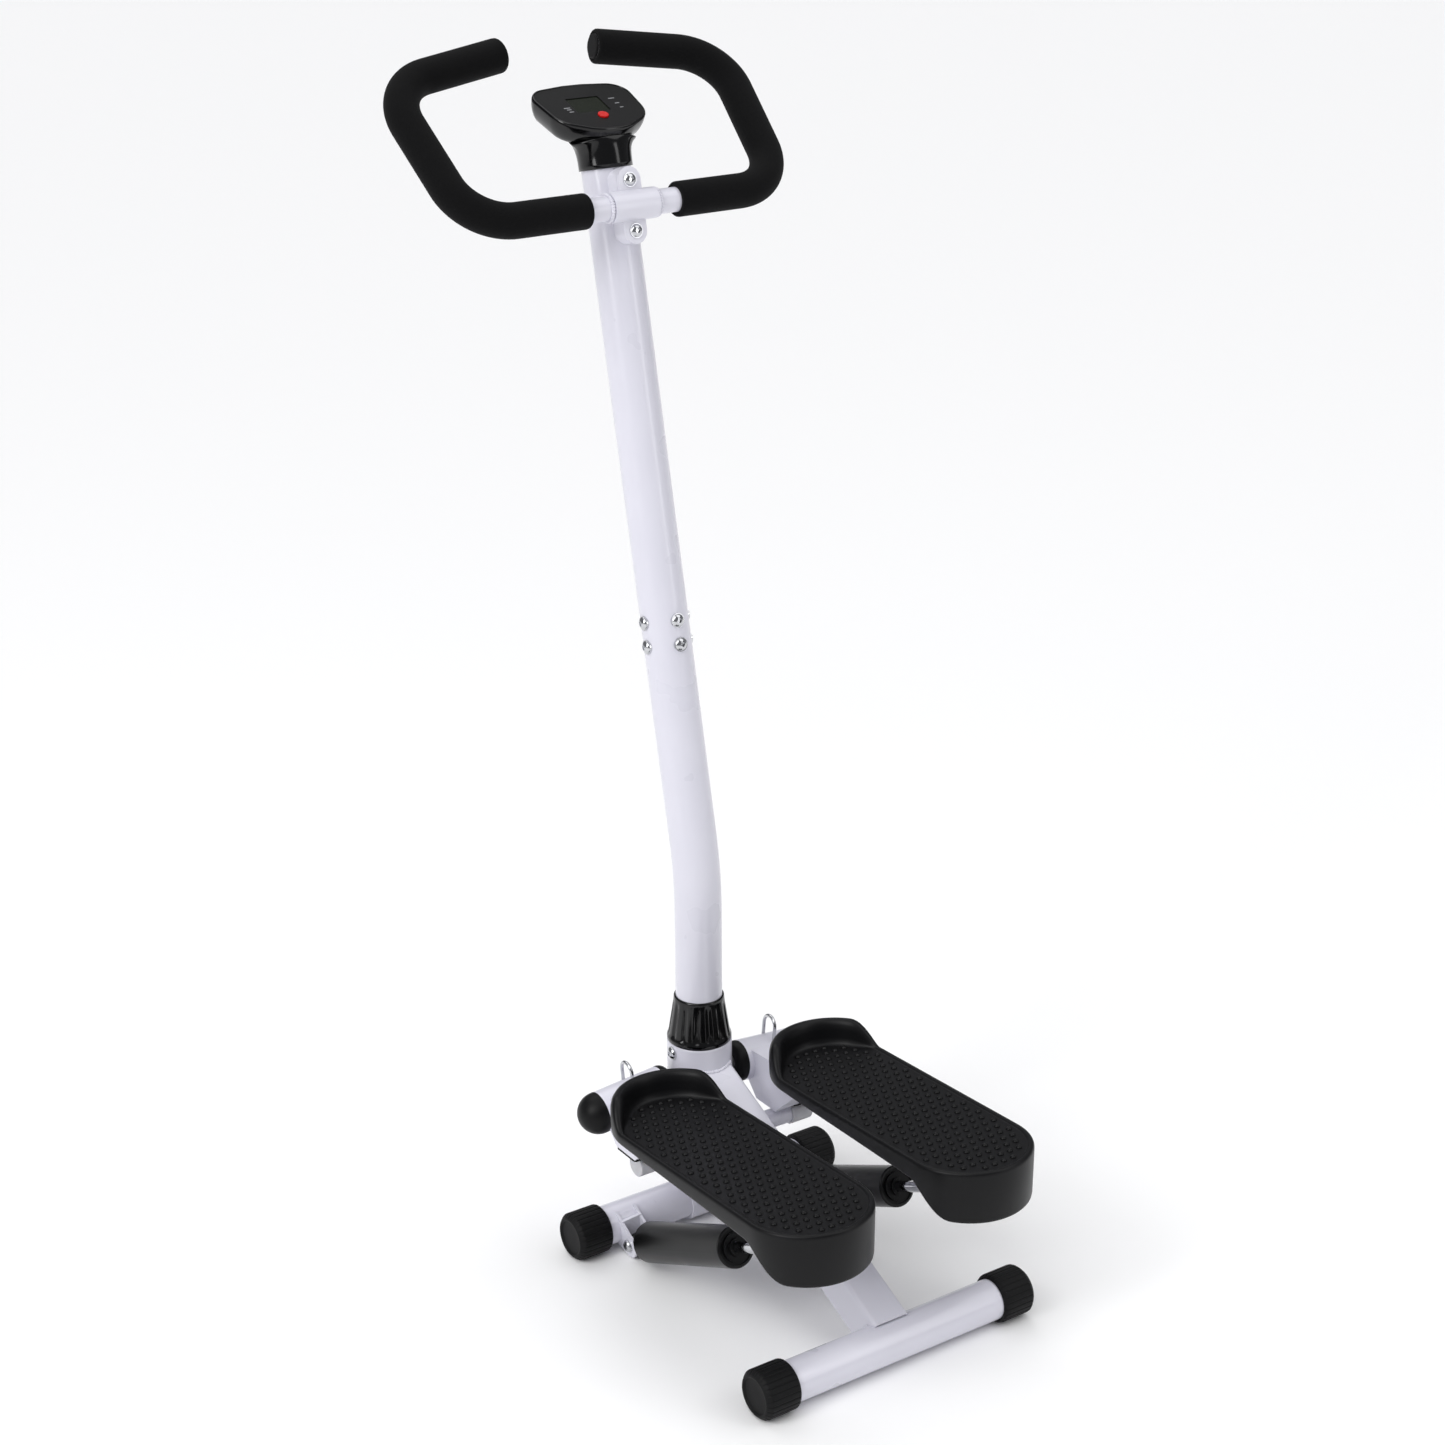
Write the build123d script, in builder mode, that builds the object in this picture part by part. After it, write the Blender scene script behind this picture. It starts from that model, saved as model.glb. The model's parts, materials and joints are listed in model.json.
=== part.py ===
# Mini stair stepper with a tall handlebar column, two linked pedals and two hydraulic cylinders.
# Millimetres. +Z is up, +Y is the way the user faces, +X is the user's right-hand side.
# The origin is on the floor, in the middle of the machine's footprint.
from build123d import *
from math import atan2, cos, degrees, radians, sin, sqrt, tan
import os

os.makedirs("parts", exist_ok=True)

# ---- base frame ----
foot_dia = 52.0            # rubber-like end caps that the machine stands on
foot_len = 40.0
foot_end_wall = 5.0
foot_flat = 0.4            # flat worn into the lowest ribs, so that each foot has a face
bar_dia = 43.0             # round crossbars
bar_wall = 1.6
bar_reach = 168.0          # middle of the machine to the outer face of a foot
wheelbase = 345.0          # front crossbar to rear crossbar
spine_width = 42.0
spine_depth = 46.0
spine_wall = 2.0
spine_rise = 24.4          # degrees from the floor
spine_top_z = 191.0        # top face of the spine where it meets the collar
post_side = 50.0
post_wall = 2.5

# ---- column ----
column_dia = 50.0
column_wall = 2.0
bend_z = 409.0             # height where the lower and the leaning centre lines cross
bend_radius = 400.0
lean = 12.2                # degrees, forward
joint_reach = 288.0        # bend point to the seam between the two tubes
column_reach = 734.0       # bend point to the column's top end
spigot_wall = 3.0
spigot_down = 66.0
spigot_up = 60.0
screw_rows = (14.0, 39.0)  # distances of the two screw rings below the seam
collar_dia = 70.0
collar_bore = 62.0
collar_z = 134.0
collar_floor = 3.0
collar_top_z = 218.0
cuff_height = 52.0
cuff_low_dia = 69.5
cuff_top_dia = 54.0
cuff_flutes = 14

# ---- pedal pivots ----
hub_z = 177.0              # where the two pivot axes cross the middle plane
axis_tilt = 5.0            # degrees; each axis dips towards its outer end
axle_dia = 20.0
axle_thread = 12.0
sleeve_dia = 45.0
sleeve_bore = 39.0
sleeve_in = 51.0           # along the axis, from the middle plane
sleeve_out = 127.5
bush_len = 18.0
cap_in = 11.5              # length of the domed cap at the sleeve's inner end
cap_wall = 2.2
eye_at = 89.5
eye_wire = 4.0
eye_legs = 20.0
eye_top = 47.0             # top of the eye above the pivot axis

# ---- pedals ----
pedal_x = 99.6
pedal_width = 134.0
pedal_heel = 401.0         # column axis back to the heel
pedal_toe = 38.0           # column axis back to the toe
tread_z = 204.0            # tread height at tread_y
tread_y = 180.0
tread_rise = 3.5           # degrees, heel end higher
tread_skin = 4.0
pedal_wall = 4.0
skirt_z = 190.0            # lower edge along the sides
heel_skirt_z = 161.0
heel_skirt_from = 330.0
heel_skirt_to = 372.0
toe_rim_z = 225.0
toe_rim_back = 96.0
toe_wall = 15.0
arm_in = 58.0              # outer faces of an arm's two side plates
arm_out = 122.0
arm_plate = 3.0
arm_depth = 26.0
arm_end = 318.0
arm_knee = (96.0, 60.0, 24.0)  # back from the column axis: end of the slope, rear and front of the low plate
pedal_screw_rows = (130.0, 250.0)
pedal_screw = 5.0

# ---- rocker that links the two arms ----
rocker_y = 44.0            # behind the column axis
rocker_z = 117.0
rocker_dia = 21.0
glide_dia = 25.0
glide_out = 111.0
glide_len = 26.0
glide_gap = 2.5            # rest clearance between a glide and its pad
pad_thick = 2.5
pad_in = 84.0              # the pads stay outboard of the bar's slimmer middle
rocker_bolt = 10.0
rocker_hub = 22.0
rocker_spacer = 6.2

# ---- hydraulic cylinders ----
ram_x = 102.5
ram_foot = (-34.0, 16.0)   # pivot behind the front crossbar: y from the column axis, z
ram_head = (-290.0, 140.0) # pin under the pedal
ram_dia = 44.0
ram_from = 20.0            # body start, along the cylinder
ram_to = 205.0
ram_eye = 20.0
ram_pin = 8.0
rod_dia = 12.0
rod_eye_bore = 16.5        # open pivot: the pin has room to wander
bracket_gap = 20.0
bracket_plate = 3.0

# ---- handlebar ----
grip_tube_dia = 25.0
grip_tube_wall = 1.5
grip_offset = 38.5         # column axis to handlebar axis
grip_reach = 693.5         # bend point to the clamp, along the column
grip_plane = 40.5          # degrees; the loops lean forward from level
loop_low_x = 181.0
loop_high = (196.4, 177.0)
loop_end = (56.0, 204.0)
loop_radius = 55.0
foam_dia = 35.5
foam_from = 52.0
clamp_width = 52.0
clamp_ear = 13.0
clamp_pitch = 50.0
clamp_plate_t = 3.0
saddle_width = 30.0

# ---- console ----
console_at = (170.0, 1181.0)  # middle of the top face: y from the column axis, z
console_tilt = 20.7
console_deep = 25.0
console_wall = 2.2
shield_rounds = [(34.0, 27.0, 22.0), (22.0, 2.0, 32.0), (6.0, 4.0, 42.0), (10.0, 32.0, 20.0)]  # x, y, radius
neck_reach = 732.0
neck_dia = 54.4
cover_thick = 1.6
rim_width = 2.4
lcd_size = (38.0, 28.5)
lcd_at = (-3.0, 12.0)
button_dia = 11.0
button_at = (1.5, -11.0)
button_travel = 1.5

# ---- fasteners and fits ----
screw_head = 14.0
screw_head_h = 4.6
screw_dia = 8.0
hex_key = 5.0
snug = 0.1                 # radial gap of pieces that are pushed together
running = 0.06             # radial gap of a turning fit
gap = 0.4                  # gap between faces that pass each other

# ---- worked-out places ----
grip_tilt = radians(grip_plane)
end_run = (loop_end[0] - loop_high[0], loop_end[1] - loop_high[1])
end_run_y = end_run[1] / sqrt(end_run[0] ** 2 + end_run[1] ** 2) * cos(grip_tilt)
front_reach = (
    -grip_offset * cos(radians(lean)) + sin(radians(lean)) * grip_reach
    + loop_end[1] * cos(grip_tilt) + foam_dia / 2 * sqrt(1 - end_run_y ** 2)
)
col_y = (pedal_heel - front_reach) / 2
bar_z = foot_dia / 2 - foot_flat
front_y = col_y
rear_y = col_y - wheelbase
lean_dir = Vector(0, sin(radians(lean)), cos(radians(lean)))
user_dir = Vector(0, -cos(radians(lean)), sin(radians(lean)))
bend_point = Vector(0, col_y, bend_z)
column_foot_z = collar_z + collar_floor + gap  # the column stands in the collar


def up_column(distance):
    """Point on the leaning part of the column's axis."""
    return bend_point + lean_dir * distance


def across_column(distance):
    """Plane square to the leaning column; its x axis is +X."""
    return Plane(origin=up_column(distance), x_dir=(1, 0, 0), z_dir=lean_dir)


# Planes along the right-hand pivot axis: local x is +Y, local y is up, local z is outwards.
tilt = radians(axis_tilt)
axis_dir = Vector(cos(tilt), 0, -sin(tilt))


def along_axis(distance):
    """Plane square to the right-hand pivot axis, at a distance from the middle plane."""
    origin = Vector(0, col_y, hub_z) + axis_dir * distance
    return Plane(origin=origin, x_dir=(0, 1, 0), z_dir=axis_dir)


def finish(piece, name):
    """Label a finished piece and write it."""
    piece.part.label = name
    export_step(piece.part, f"parts/{name}.step")


def both_sides(piece, name):
    """Write a right-hand piece and its left-hand mirror image."""
    finish(piece, f"{name}_right")
    with BuildPart() as twin:
        mirror(piece.part, about=Plane.YZ)
    finish(twin, f"{name}_left")


# ---------------------------------------------------------------- crossbars and feet
tube_half = bar_reach - foot_end_wall - gap
for name, y in (("front_crossbar", front_y), ("rear_crossbar", rear_y)):
    with BuildPart() as crossbar:
        with BuildSketch(Plane.YZ):
            with Locations((y, bar_z)):
                Circle(bar_dia / 2)
                Circle(bar_dia / 2 - bar_wall, mode=Mode.SUBTRACT)
        extrude(amount=tube_half, both=True)
    finish(crossbar, name)

rib_count = 26
foot_plane = Plane(origin=(bar_reach - foot_len, front_y, bar_z), x_dir=(0, 1, 0), z_dir=(1, 0, 0))
with BuildPart() as foot:
    with BuildSketch(foot_plane):
        Circle(foot_dia / 2)
    extrude(amount=foot_len)
    chamfer(foot.edges().filter_by(GeomType.CIRCLE).sort_by(Axis.X)[-1], 3.5)
    fillet(foot.edges().filter_by(GeomType.CIRCLE).sort_by(Axis.X)[0], 1.5)
    with BuildSketch(foot_plane):
        Circle(bar_dia / 2 + snug)
    extrude(amount=foot_len - foot_end_wall, mode=Mode.SUBTRACT)
    with BuildSketch(foot_plane.offset(foot_len)):
        Circle(foot_dia / 2 - 7)
    extrude(amount=-1.6, mode=Mode.SUBTRACT)
    with BuildSketch(foot_plane.offset(5)):
        with PolarLocations(foot_dia / 2, rib_count, start_angle=180 / rib_count - 90):
            Rectangle(2.2, 1.8)
    extrude(amount=foot_len - 13, mode=Mode.SUBTRACT)
    split(bisect_by=Plane.XY, keep=Keep.TOP)
with BuildPart() as feet:
    for end_y in (front_y, rear_y):
        add(foot.part.moved(Location((0, end_y - front_y, 0))))
    mirror(about=Plane.YZ)
finish(feet, "foot_caps")

# ---------------------------------------------------------------- spine, post and collar
rise = radians(spine_rise)
spine_start = Vector(0, col_y - collar_dia / 2, spine_top_z)
spine_down = Vector(0, -cos(rise), -sin(rise))
spine_length = (wheelbase - collar_dia / 2) / cos(rise)
with BuildPart() as spine:
    spine_plane = Plane(origin=spine_start, x_dir=(1, 0, 0), z_dir=spine_down)
    with BuildSketch(spine_plane.offset(-40)):
        with Locations((0, -spine_depth / 2)):
            RectangleRounded(spine_width, spine_depth, 4)
            RectangleRounded(spine_width - 2 * spine_wall, spine_depth - 2 * spine_wall, 2,
                             mode=Mode.SUBTRACT)
    extrude(amount=spine_length + 40)
    with Locations((0, col_y, collar_z)):
        Cylinder(collar_dia / 2, 300, mode=Mode.SUBTRACT)
    with Locations((0, col_y + 60, collar_z)):
        Box(120, 120, 400, mode=Mode.SUBTRACT)
    with Locations((0, col_y, collar_z / 2)):
        Box(post_side, post_side, collar_z, mode=Mode.SUBTRACT)
    with Locations(Location((0, rear_y, bar_z), (0, 90, 0))):
        Cylinder(bar_dia / 2, 200, mode=Mode.SUBTRACT)
finish(spine, "spine")

with BuildPart() as post:
    with BuildSketch(Plane.XY.offset(bar_z)):
        with Locations((0, col_y)):
            RectangleRounded(post_side, post_side, 4)
            RectangleRounded(post_side - 2 * post_wall, post_side - 2 * post_wall, 2, mode=Mode.SUBTRACT)
    extrude(amount=collar_z - bar_z)
    with BuildSketch(Plane.YZ):
        with Locations((front_y, bar_z)):
            Circle(post_side / 2 - 0.5)
    extrude(amount=post_side / 2 - 0.5, both=True)
    with BuildSketch(Plane.YZ):
        with Locations((front_y, bar_z)):
            Circle(bar_dia / 2)
    extrude(amount=post_side, both=True, mode=Mode.SUBTRACT)
    with BuildSketch(Plane(origin=(0, col_y - post_side / 2, rocker_z), x_dir=(1, 0, 0), z_dir=(0, 1, 0))):
        Circle(rocker_bolt / 2)
    extrude(amount=post_wall + 1, mode=Mode.SUBTRACT)
finish(post, "front_post")

with BuildPart() as collar:
    with BuildSketch(Plane.XY.offset(collar_z)):
        with Locations((0, col_y)):
            Circle(collar_dia / 2)
    extrude(amount=collar_top_z - collar_z)
    with BuildSketch(Plane.XY.offset(collar_z + collar_floor)):
        with Locations((0, col_y)):
            Circle(collar_bore / 2)
    extrude(amount=collar_top_z - collar_z, mode=Mode.SUBTRACT)
    chamfer(collar.edges().filter_by(GeomType.CIRCLE).group_by(Axis.Z)[-1], 1)
    with BuildSketch(Plane(origin=(0, col_y, collar_top_z - 10), x_dir=(0, 1, 0), z_dir=(1, 0, 0))):
        Circle(screw_dia / 2)
    extrude(amount=collar_dia, both=True, mode=Mode.SUBTRACT)
finish(collar, "collar")

with BuildPart() as bush:
    with BuildSketch(Plane.XY.offset(column_foot_z + 10)):
        with Locations((0, col_y)):
            Circle(collar_bore / 2 - snug)
            Circle(column_dia / 2 + snug, mode=Mode.SUBTRACT)
    extrude(amount=collar_top_z - column_foot_z - 10)
    with BuildSketch(Plane(origin=(0, col_y, collar_top_z - 10), x_dir=(0, 1, 0), z_dir=(1, 0, 0))):
        Circle(screw_dia / 2 + snug)
    extrude(amount=collar_dia, both=True, mode=Mode.SUBTRACT)
finish(bush, "column_bush")

cuff_plane = Plane(origin=(0, col_y, collar_top_z), x_dir=(1, 0, 0), z_dir=(0, -1, 0))
with BuildPart() as cuff:
    with BuildSketch(cuff_plane):
        with BuildLine():
            Polyline(
                (column_dia / 2 + snug, 0), (cuff_low_dia / 2, 0), (cuff_low_dia / 2, 6),
                (cuff_top_dia / 2, cuff_height - 3), (cuff_top_dia / 2 - 0.8, cuff_height),
                (column_dia / 2 + snug, cuff_height), close=True,
            )
        make_face()
    revolve(axis=Axis((0, col_y, 0), (0, 0, 1)))
    slant = degrees(atan2((cuff_low_dia - cuff_top_dia) / 2, cuff_height - 9))
    cuff_middle = Location((0, col_y, collar_top_z + 6))
    for flute in range(cuff_flutes):
        turned = cuff_middle * Location((0, 0, 0), (0, 0, 360 / cuff_flutes * flute))
        with Locations(turned * Location((cuff_low_dia / 2 + 4.4, 0, 0), (0, -slant, 0))):
            Cylinder(6, cuff_height - 8, align=(Align.CENTER, Align.CENTER, Align.MIN), mode=Mode.SUBTRACT)
finish(cuff, "column_cuff")


def button_screw(shank, skirt=0.0):
    """Button-head screw, head up, seated at z = 0; a skirt deepens the head for a curved seat."""
    with BuildPart() as screw:
        with BuildSketch(Plane.XZ):
            with BuildLine():
                Line((0, -skirt), (screw_head / 2, -skirt))
                Line((screw_head / 2, -skirt), (screw_head / 2, 0.9))
                shoulder = (screw_head * 0.4, screw_head_h * 0.78)
                ThreePointArc((screw_head / 2, 0.9), shoulder, (3.4, screw_head_h))
                Line((3.4, screw_head_h), (0, screw_head_h))
                Line((0, screw_head_h), (0, -skirt))
            make_face()
        revolve(axis=Axis.Z)
        with BuildSketch(Plane.XY.offset(screw_head_h)):
            RegularPolygon(hex_key / 2, 6, major_radius=False)
        extrude(amount=-2.6, mode=Mode.SUBTRACT)
        if shank:
            with Locations((0, 0, -shank)):
                Cylinder(screw_dia / 2, shank, align=(Align.CENTER, Align.CENTER, Align.MIN))
    return screw.part


head_on_tube = button_screw(0, skirt=1.2)
collar_screw_z = collar_top_z - 10
with BuildPart() as collar_screws:
    for side in (-1, 1):
        rim = (side * collar_dia / 2, col_y, collar_screw_z)
        add(head_on_tube.moved(Plane(origin=rim, x_dir=(0, 1, 0), z_dir=(side, 0, 0)).location))
    with Locations((0, col_y, collar_screw_z)):
        Cylinder(collar_dia / 2, 40, mode=Mode.SUBTRACT)
    with BuildSketch(Plane(origin=(0, col_y, collar_screw_z), x_dir=(0, 1, 0), z_dir=(1, 0, 0))):
        Circle(screw_dia / 2)
    extrude(amount=collar_dia / 2 + 1, both=True)
    with Locations((0, col_y, collar_screw_z)):
        Cylinder(column_dia / 2 + snug, 40, mode=Mode.SUBTRACT)
finish(collar_screws, "collar_screws")

# ---------------------------------------------------------------- column
seam = up_column(joint_reach)
across = Location((0, 0, 0), (0, 90, 0))
with BuildPart() as column_lower:
    with BuildLine(Plane.YZ) as path:
        FilletPolyline((col_y, column_foot_z), (col_y, bend_z), (seam.Y, seam.Z), radius=bend_radius)
    with BuildSketch(Plane.XY.offset(column_foot_z)):
        with Locations((0, col_y)):
            Circle(column_dia / 2)
            Circle(column_dia / 2 - column_wall, mode=Mode.SUBTRACT)
    sweep()
    for row in screw_rows:
        level = across_column(joint_reach - row)
        for turn in (0, 90):
            with Locations(level.location * Location((0, 0, 0), (0, 0, turn)) * across):
                Cylinder(screw_dia / 2 + snug, column_dia * 2, mode=Mode.SUBTRACT)
finish(column_lower, "column_lower")

with BuildPart() as column_upper:
    with BuildSketch(across_column(joint_reach)):
        Circle(column_dia / 2)
        Circle(column_dia / 2 - column_wall, mode=Mode.SUBTRACT)
    extrude(amount=column_reach - joint_reach)
finish(column_upper, "column_upper")

with BuildPart() as spigot:
    with BuildSketch(across_column(joint_reach - spigot_down)):
        Circle(column_dia / 2 - column_wall - snug)
        Circle(column_dia / 2 - column_wall - spigot_wall, mode=Mode.SUBTRACT)
    extrude(amount=spigot_down + spigot_up)
    for row in screw_rows:
        level = across_column(joint_reach - row)
        for turn in (0, 90):
            with Locations(level.location * Location((0, 0, 0), (0, 0, turn)) * across):
                Cylinder(screw_dia / 2, column_dia * 2, mode=Mode.SUBTRACT)
finish(spigot, "column_spigot")

shank_in = column_dia / 2 - column_wall - spigot_wall - 1
with BuildPart() as column_screws:
    for row in screw_rows:
        level = across_column(joint_reach - row)
        for turn in range(0, 360, 90):
            facing = level.location * Location((0, 0, 0), (0, 0, turn))
            add(head_on_tube.moved(facing * Location((column_dia / 2, 0, 0), (0, 90, 0))))
    with Locations(across_column(joint_reach - 30).location):
        Cylinder(column_dia / 2, 120, mode=Mode.SUBTRACT)
    for row in screw_rows:
        level = across_column(joint_reach - row)
        for turn in range(0, 360, 90):
            facing = level.location * Location((0, 0, 0), (0, 0, turn))
            with Locations(facing * Location((shank_in, 0, 0), (0, 90, 0))):
                Cylinder(screw_dia / 2, column_dia / 2 - shank_in + 0.5,
                         align=(Align.CENTER, Align.CENTER, Align.MIN))
finish(column_screws, "column_screws")

# ---------------------------------------------------------------- pivots
with BuildPart() as axles:
    with BuildSketch(along_axis(20)):
        Circle(axle_dia / 2)
    extrude(amount=sleeve_out + gap - 20)
    with BuildSketch(along_axis(sleeve_out + gap)):
        Circle(axle_thread / 2)
    extrude(amount=14)
    with Locations((0, col_y, hub_z)):
        Cylinder(collar_dia / 2, 120, mode=Mode.SUBTRACT)
    mirror(about=Plane.YZ)
finish(axles, "pivot_axles")

with BuildPart() as nuts:
    with BuildSketch(along_axis(sleeve_out + gap)):
        Circle(13)
        Circle(axle_thread / 2, mode=Mode.SUBTRACT)
    extrude(amount=2)
    with BuildSketch(along_axis(sleeve_out + gap + 2)):
        RegularPolygon(9.5, 6, major_radius=False)
        Circle(axle_thread / 2, mode=Mode.SUBTRACT)
    extrude(amount=10)
    mirror(about=Plane.YZ)
finish(nuts, "axle_nuts")

with BuildPart() as sleeve:
    with BuildSketch(along_axis(sleeve_in)):
        Circle(sleeve_dia / 2)
        Circle(sleeve_bore / 2, mode=Mode.SUBTRACT)
    extrude(amount=sleeve_out - sleeve_in)
both_sides(sleeve, "pivot_sleeve")

with BuildPart() as bushes:
    for start in (sleeve_in, sleeve_out - bush_len):
        with BuildSketch(along_axis(start)):
            Circle(sleeve_bore / 2)
            Circle(axle_dia / 2 + running, mode=Mode.SUBTRACT)
        extrude(amount=bush_len)
both_sides(bushes, "sleeve_bushes")

with BuildPart() as dome_cap:
    with BuildSketch(along_axis(sleeve_in)):
        Circle(sleeve_dia / 2)
    extrude(amount=-cap_in)
    rim = dome_cap.edges().filter_by(GeomType.CIRCLE).sort_by(Axis.X)[0]
    fillet(rim, cap_in - 2.5)
    with BuildSketch(along_axis(sleeve_in)):
        Circle(axle_dia / 2 + gap)
    extrude(amount=-cap_in, mode=Mode.SUBTRACT)
both_sides(dome_cap, "dome_cap")

with BuildPart() as ball_cap:
    with BuildSketch(along_axis(sleeve_out)):
        Circle(sleeve_dia / 2)
    extrude(amount=2)
    with Locations(along_axis(sleeve_out + 2).location):
        Sphere(sleeve_dia / 2)
        Sphere(sleeve_dia / 2 - cap_wall, mode=Mode.SUBTRACT)
    with BuildSketch(along_axis(sleeve_out)):
        Circle(sleeve_dia / 2 - cap_wall)
    extrude(amount=2, mode=Mode.SUBTRACT)
    with BuildSketch(along_axis(sleeve_out)):
        Circle(sleeve_dia)
    extrude(amount=-sleeve_dia, mode=Mode.SUBTRACT)
both_sides(ball_cap, "ball_cap")

eye_radius = eye_legs / 2
with BuildPart() as eye:
    eye_plane = along_axis(eye_at)
    with BuildLine(eye_plane) as wire:
        Line((-eye_radius, sleeve_dia / 2 - 5), (-eye_radius, eye_top - eye_wire / 2 - eye_radius))
        ThreePointArc((-eye_radius, eye_top - eye_wire / 2 - eye_radius), (0, eye_top - eye_wire / 2),
                      (eye_radius, eye_top - eye_wire / 2 - eye_radius))
        Line((eye_radius, eye_top - eye_wire / 2 - eye_radius), (eye_radius, sleeve_dia / 2 - 5))
    with BuildSketch(Plane(origin=wire.line @ 0, z_dir=wire.line % 0)):
        Circle(eye_wire / 2)
    sweep()
    with Locations(along_axis(eye_at).location):
        Cylinder(sleeve_dia / 2, 60, mode=Mode.SUBTRACT)
both_sides(eye, "band_eye")

# ---------------------------------------------------------------- arms and pedals
slope = tan(radians(tread_rise))


def tread(back):
    """Height of the tread, a distance behind the column axis."""
    return tread_z + (back - tread_y) * slope


def behind(back, z):
    """Point in the Y-Z plane, a distance behind the column axis."""
    return (col_y - back, z)


pad_z = rocker_z + glide_dia / 2 + glide_gap
plate_z = pad_z + pad_thick
arm_top = tread_skin + gap
screw_spots = [(pedal_x + dx, row) for row in pedal_screw_rows for dx in (-24, 12)]
knee_back, low_rear, low_front = arm_knee
with BuildPart() as arm:
    with BuildSketch(Plane.YZ.offset(arm_in)):
        with BuildLine():
            Polyline(
                behind(14, tread(14) - arm_top), behind(arm_end, tread(arm_end) - arm_top),
                behind(arm_end, tread(arm_end) - arm_top - arm_depth),
                behind(knee_back, tread(knee_back) - arm_top - arm_depth),
                behind(low_rear, plate_z), behind(low_front, plate_z),
                behind(4, hub_z - sleeve_dia / 2 + 2), close=True,
            )
        make_face()
    extrude(amount=arm_out - arm_in)
    with BuildSketch(Plane.YZ.offset(arm_in + arm_plate)):
        with BuildLine():
            Polyline(
                behind(10, tread(10) - arm_top - arm_plate),
                behind(arm_end + 1, tread(arm_end) - arm_top - arm_plate),
                behind(arm_end + 1, tread(arm_end) - arm_top - arm_depth - 5),
                behind(knee_back + 4, tread(knee_back) - arm_top - arm_depth - 5),
                behind(knee_back, tread(knee_back) - arm_top - arm_depth + arm_plate),
                behind(low_rear - 2, plate_z + arm_plate), behind(low_front, plate_z + arm_plate),
                behind(4, hub_z - sleeve_dia / 2 + 2), close=True,
            )
        make_face()
    extrude(amount=arm_out - arm_in - 2 * arm_plate, mode=Mode.SUBTRACT)
    with Locations(along_axis(eye_at).location):
        Cylinder(sleeve_dia / 2, 200, mode=Mode.SUBTRACT)
    with Locations((0, col_y + 50, hub_z)):
        Box(400, 100 - 2, 200, mode=Mode.SUBTRACT)
    # fork for the cylinder's upper pin
    fork_z = tread(-ram_head[0]) - arm_top - arm_depth
    with Locations(((arm_in + arm_out) / 2, col_y + ram_head[0], fork_z - arm_plate / 2 + 1)):
        Box(arm_out - arm_in, 30, arm_plate)
    for side in (-1, 1):
        cheek_x = ram_x + side * (bracket_gap / 2 + arm_plate / 2) - arm_plate / 2
        with BuildSketch(Plane.YZ.offset(cheek_x)):
            with BuildLine():
                Polyline(
                    behind(-ram_head[0] - 12, fork_z), behind(-ram_head[0] - 12, ram_head[1]),
                    behind(-ram_head[0] + 12, ram_head[1]), behind(-ram_head[0] + 12, fork_z), close=True,
                )
            make_face()
            with Locations(behind(-ram_head[0], ram_head[1])):
                Circle(12)
                Circle(ram_pin / 2, mode=Mode.SUBTRACT)
        extrude(amount=arm_plate)
    with Locations(*[(x, col_y - row, tread(row) - arm_top) for x, row in screw_spots]):
        Cylinder(pedal_screw / 2 + snug, 20, mode=Mode.SUBTRACT)
both_sides(arm, "pedal_arm")

with BuildPart() as glide_pad:
    with BuildSketch(Plane.XY.offset(pad_z)):
        with Locations(((pad_in + arm_out) / 2, col_y - (low_rear + low_front) / 2)):
            RectangleRounded(arm_out - pad_in, low_rear - low_front, 3)
    extrude(amount=pad_thick)
both_sides(glide_pad, "glide_pad")

with BuildPart() as pedal_screws:
    for x, row in screw_spots:
        plate_under = tread(row) - arm_top - arm_plate - 0.9
        with Locations(Location((x, col_y - row, plate_under), (180, 0, 0))):
            Cylinder(6, 2.6, align=(Align.CENTER, Align.CENTER, Align.MIN))
        with Locations((x, col_y - row, plate_under)):
            Cylinder(pedal_screw / 2, arm_plate + gap + 3.2, align=(Align.CENTER, Align.CENTER, Align.MIN))
both_sides(pedal_screws, "pedal_screws")

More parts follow.
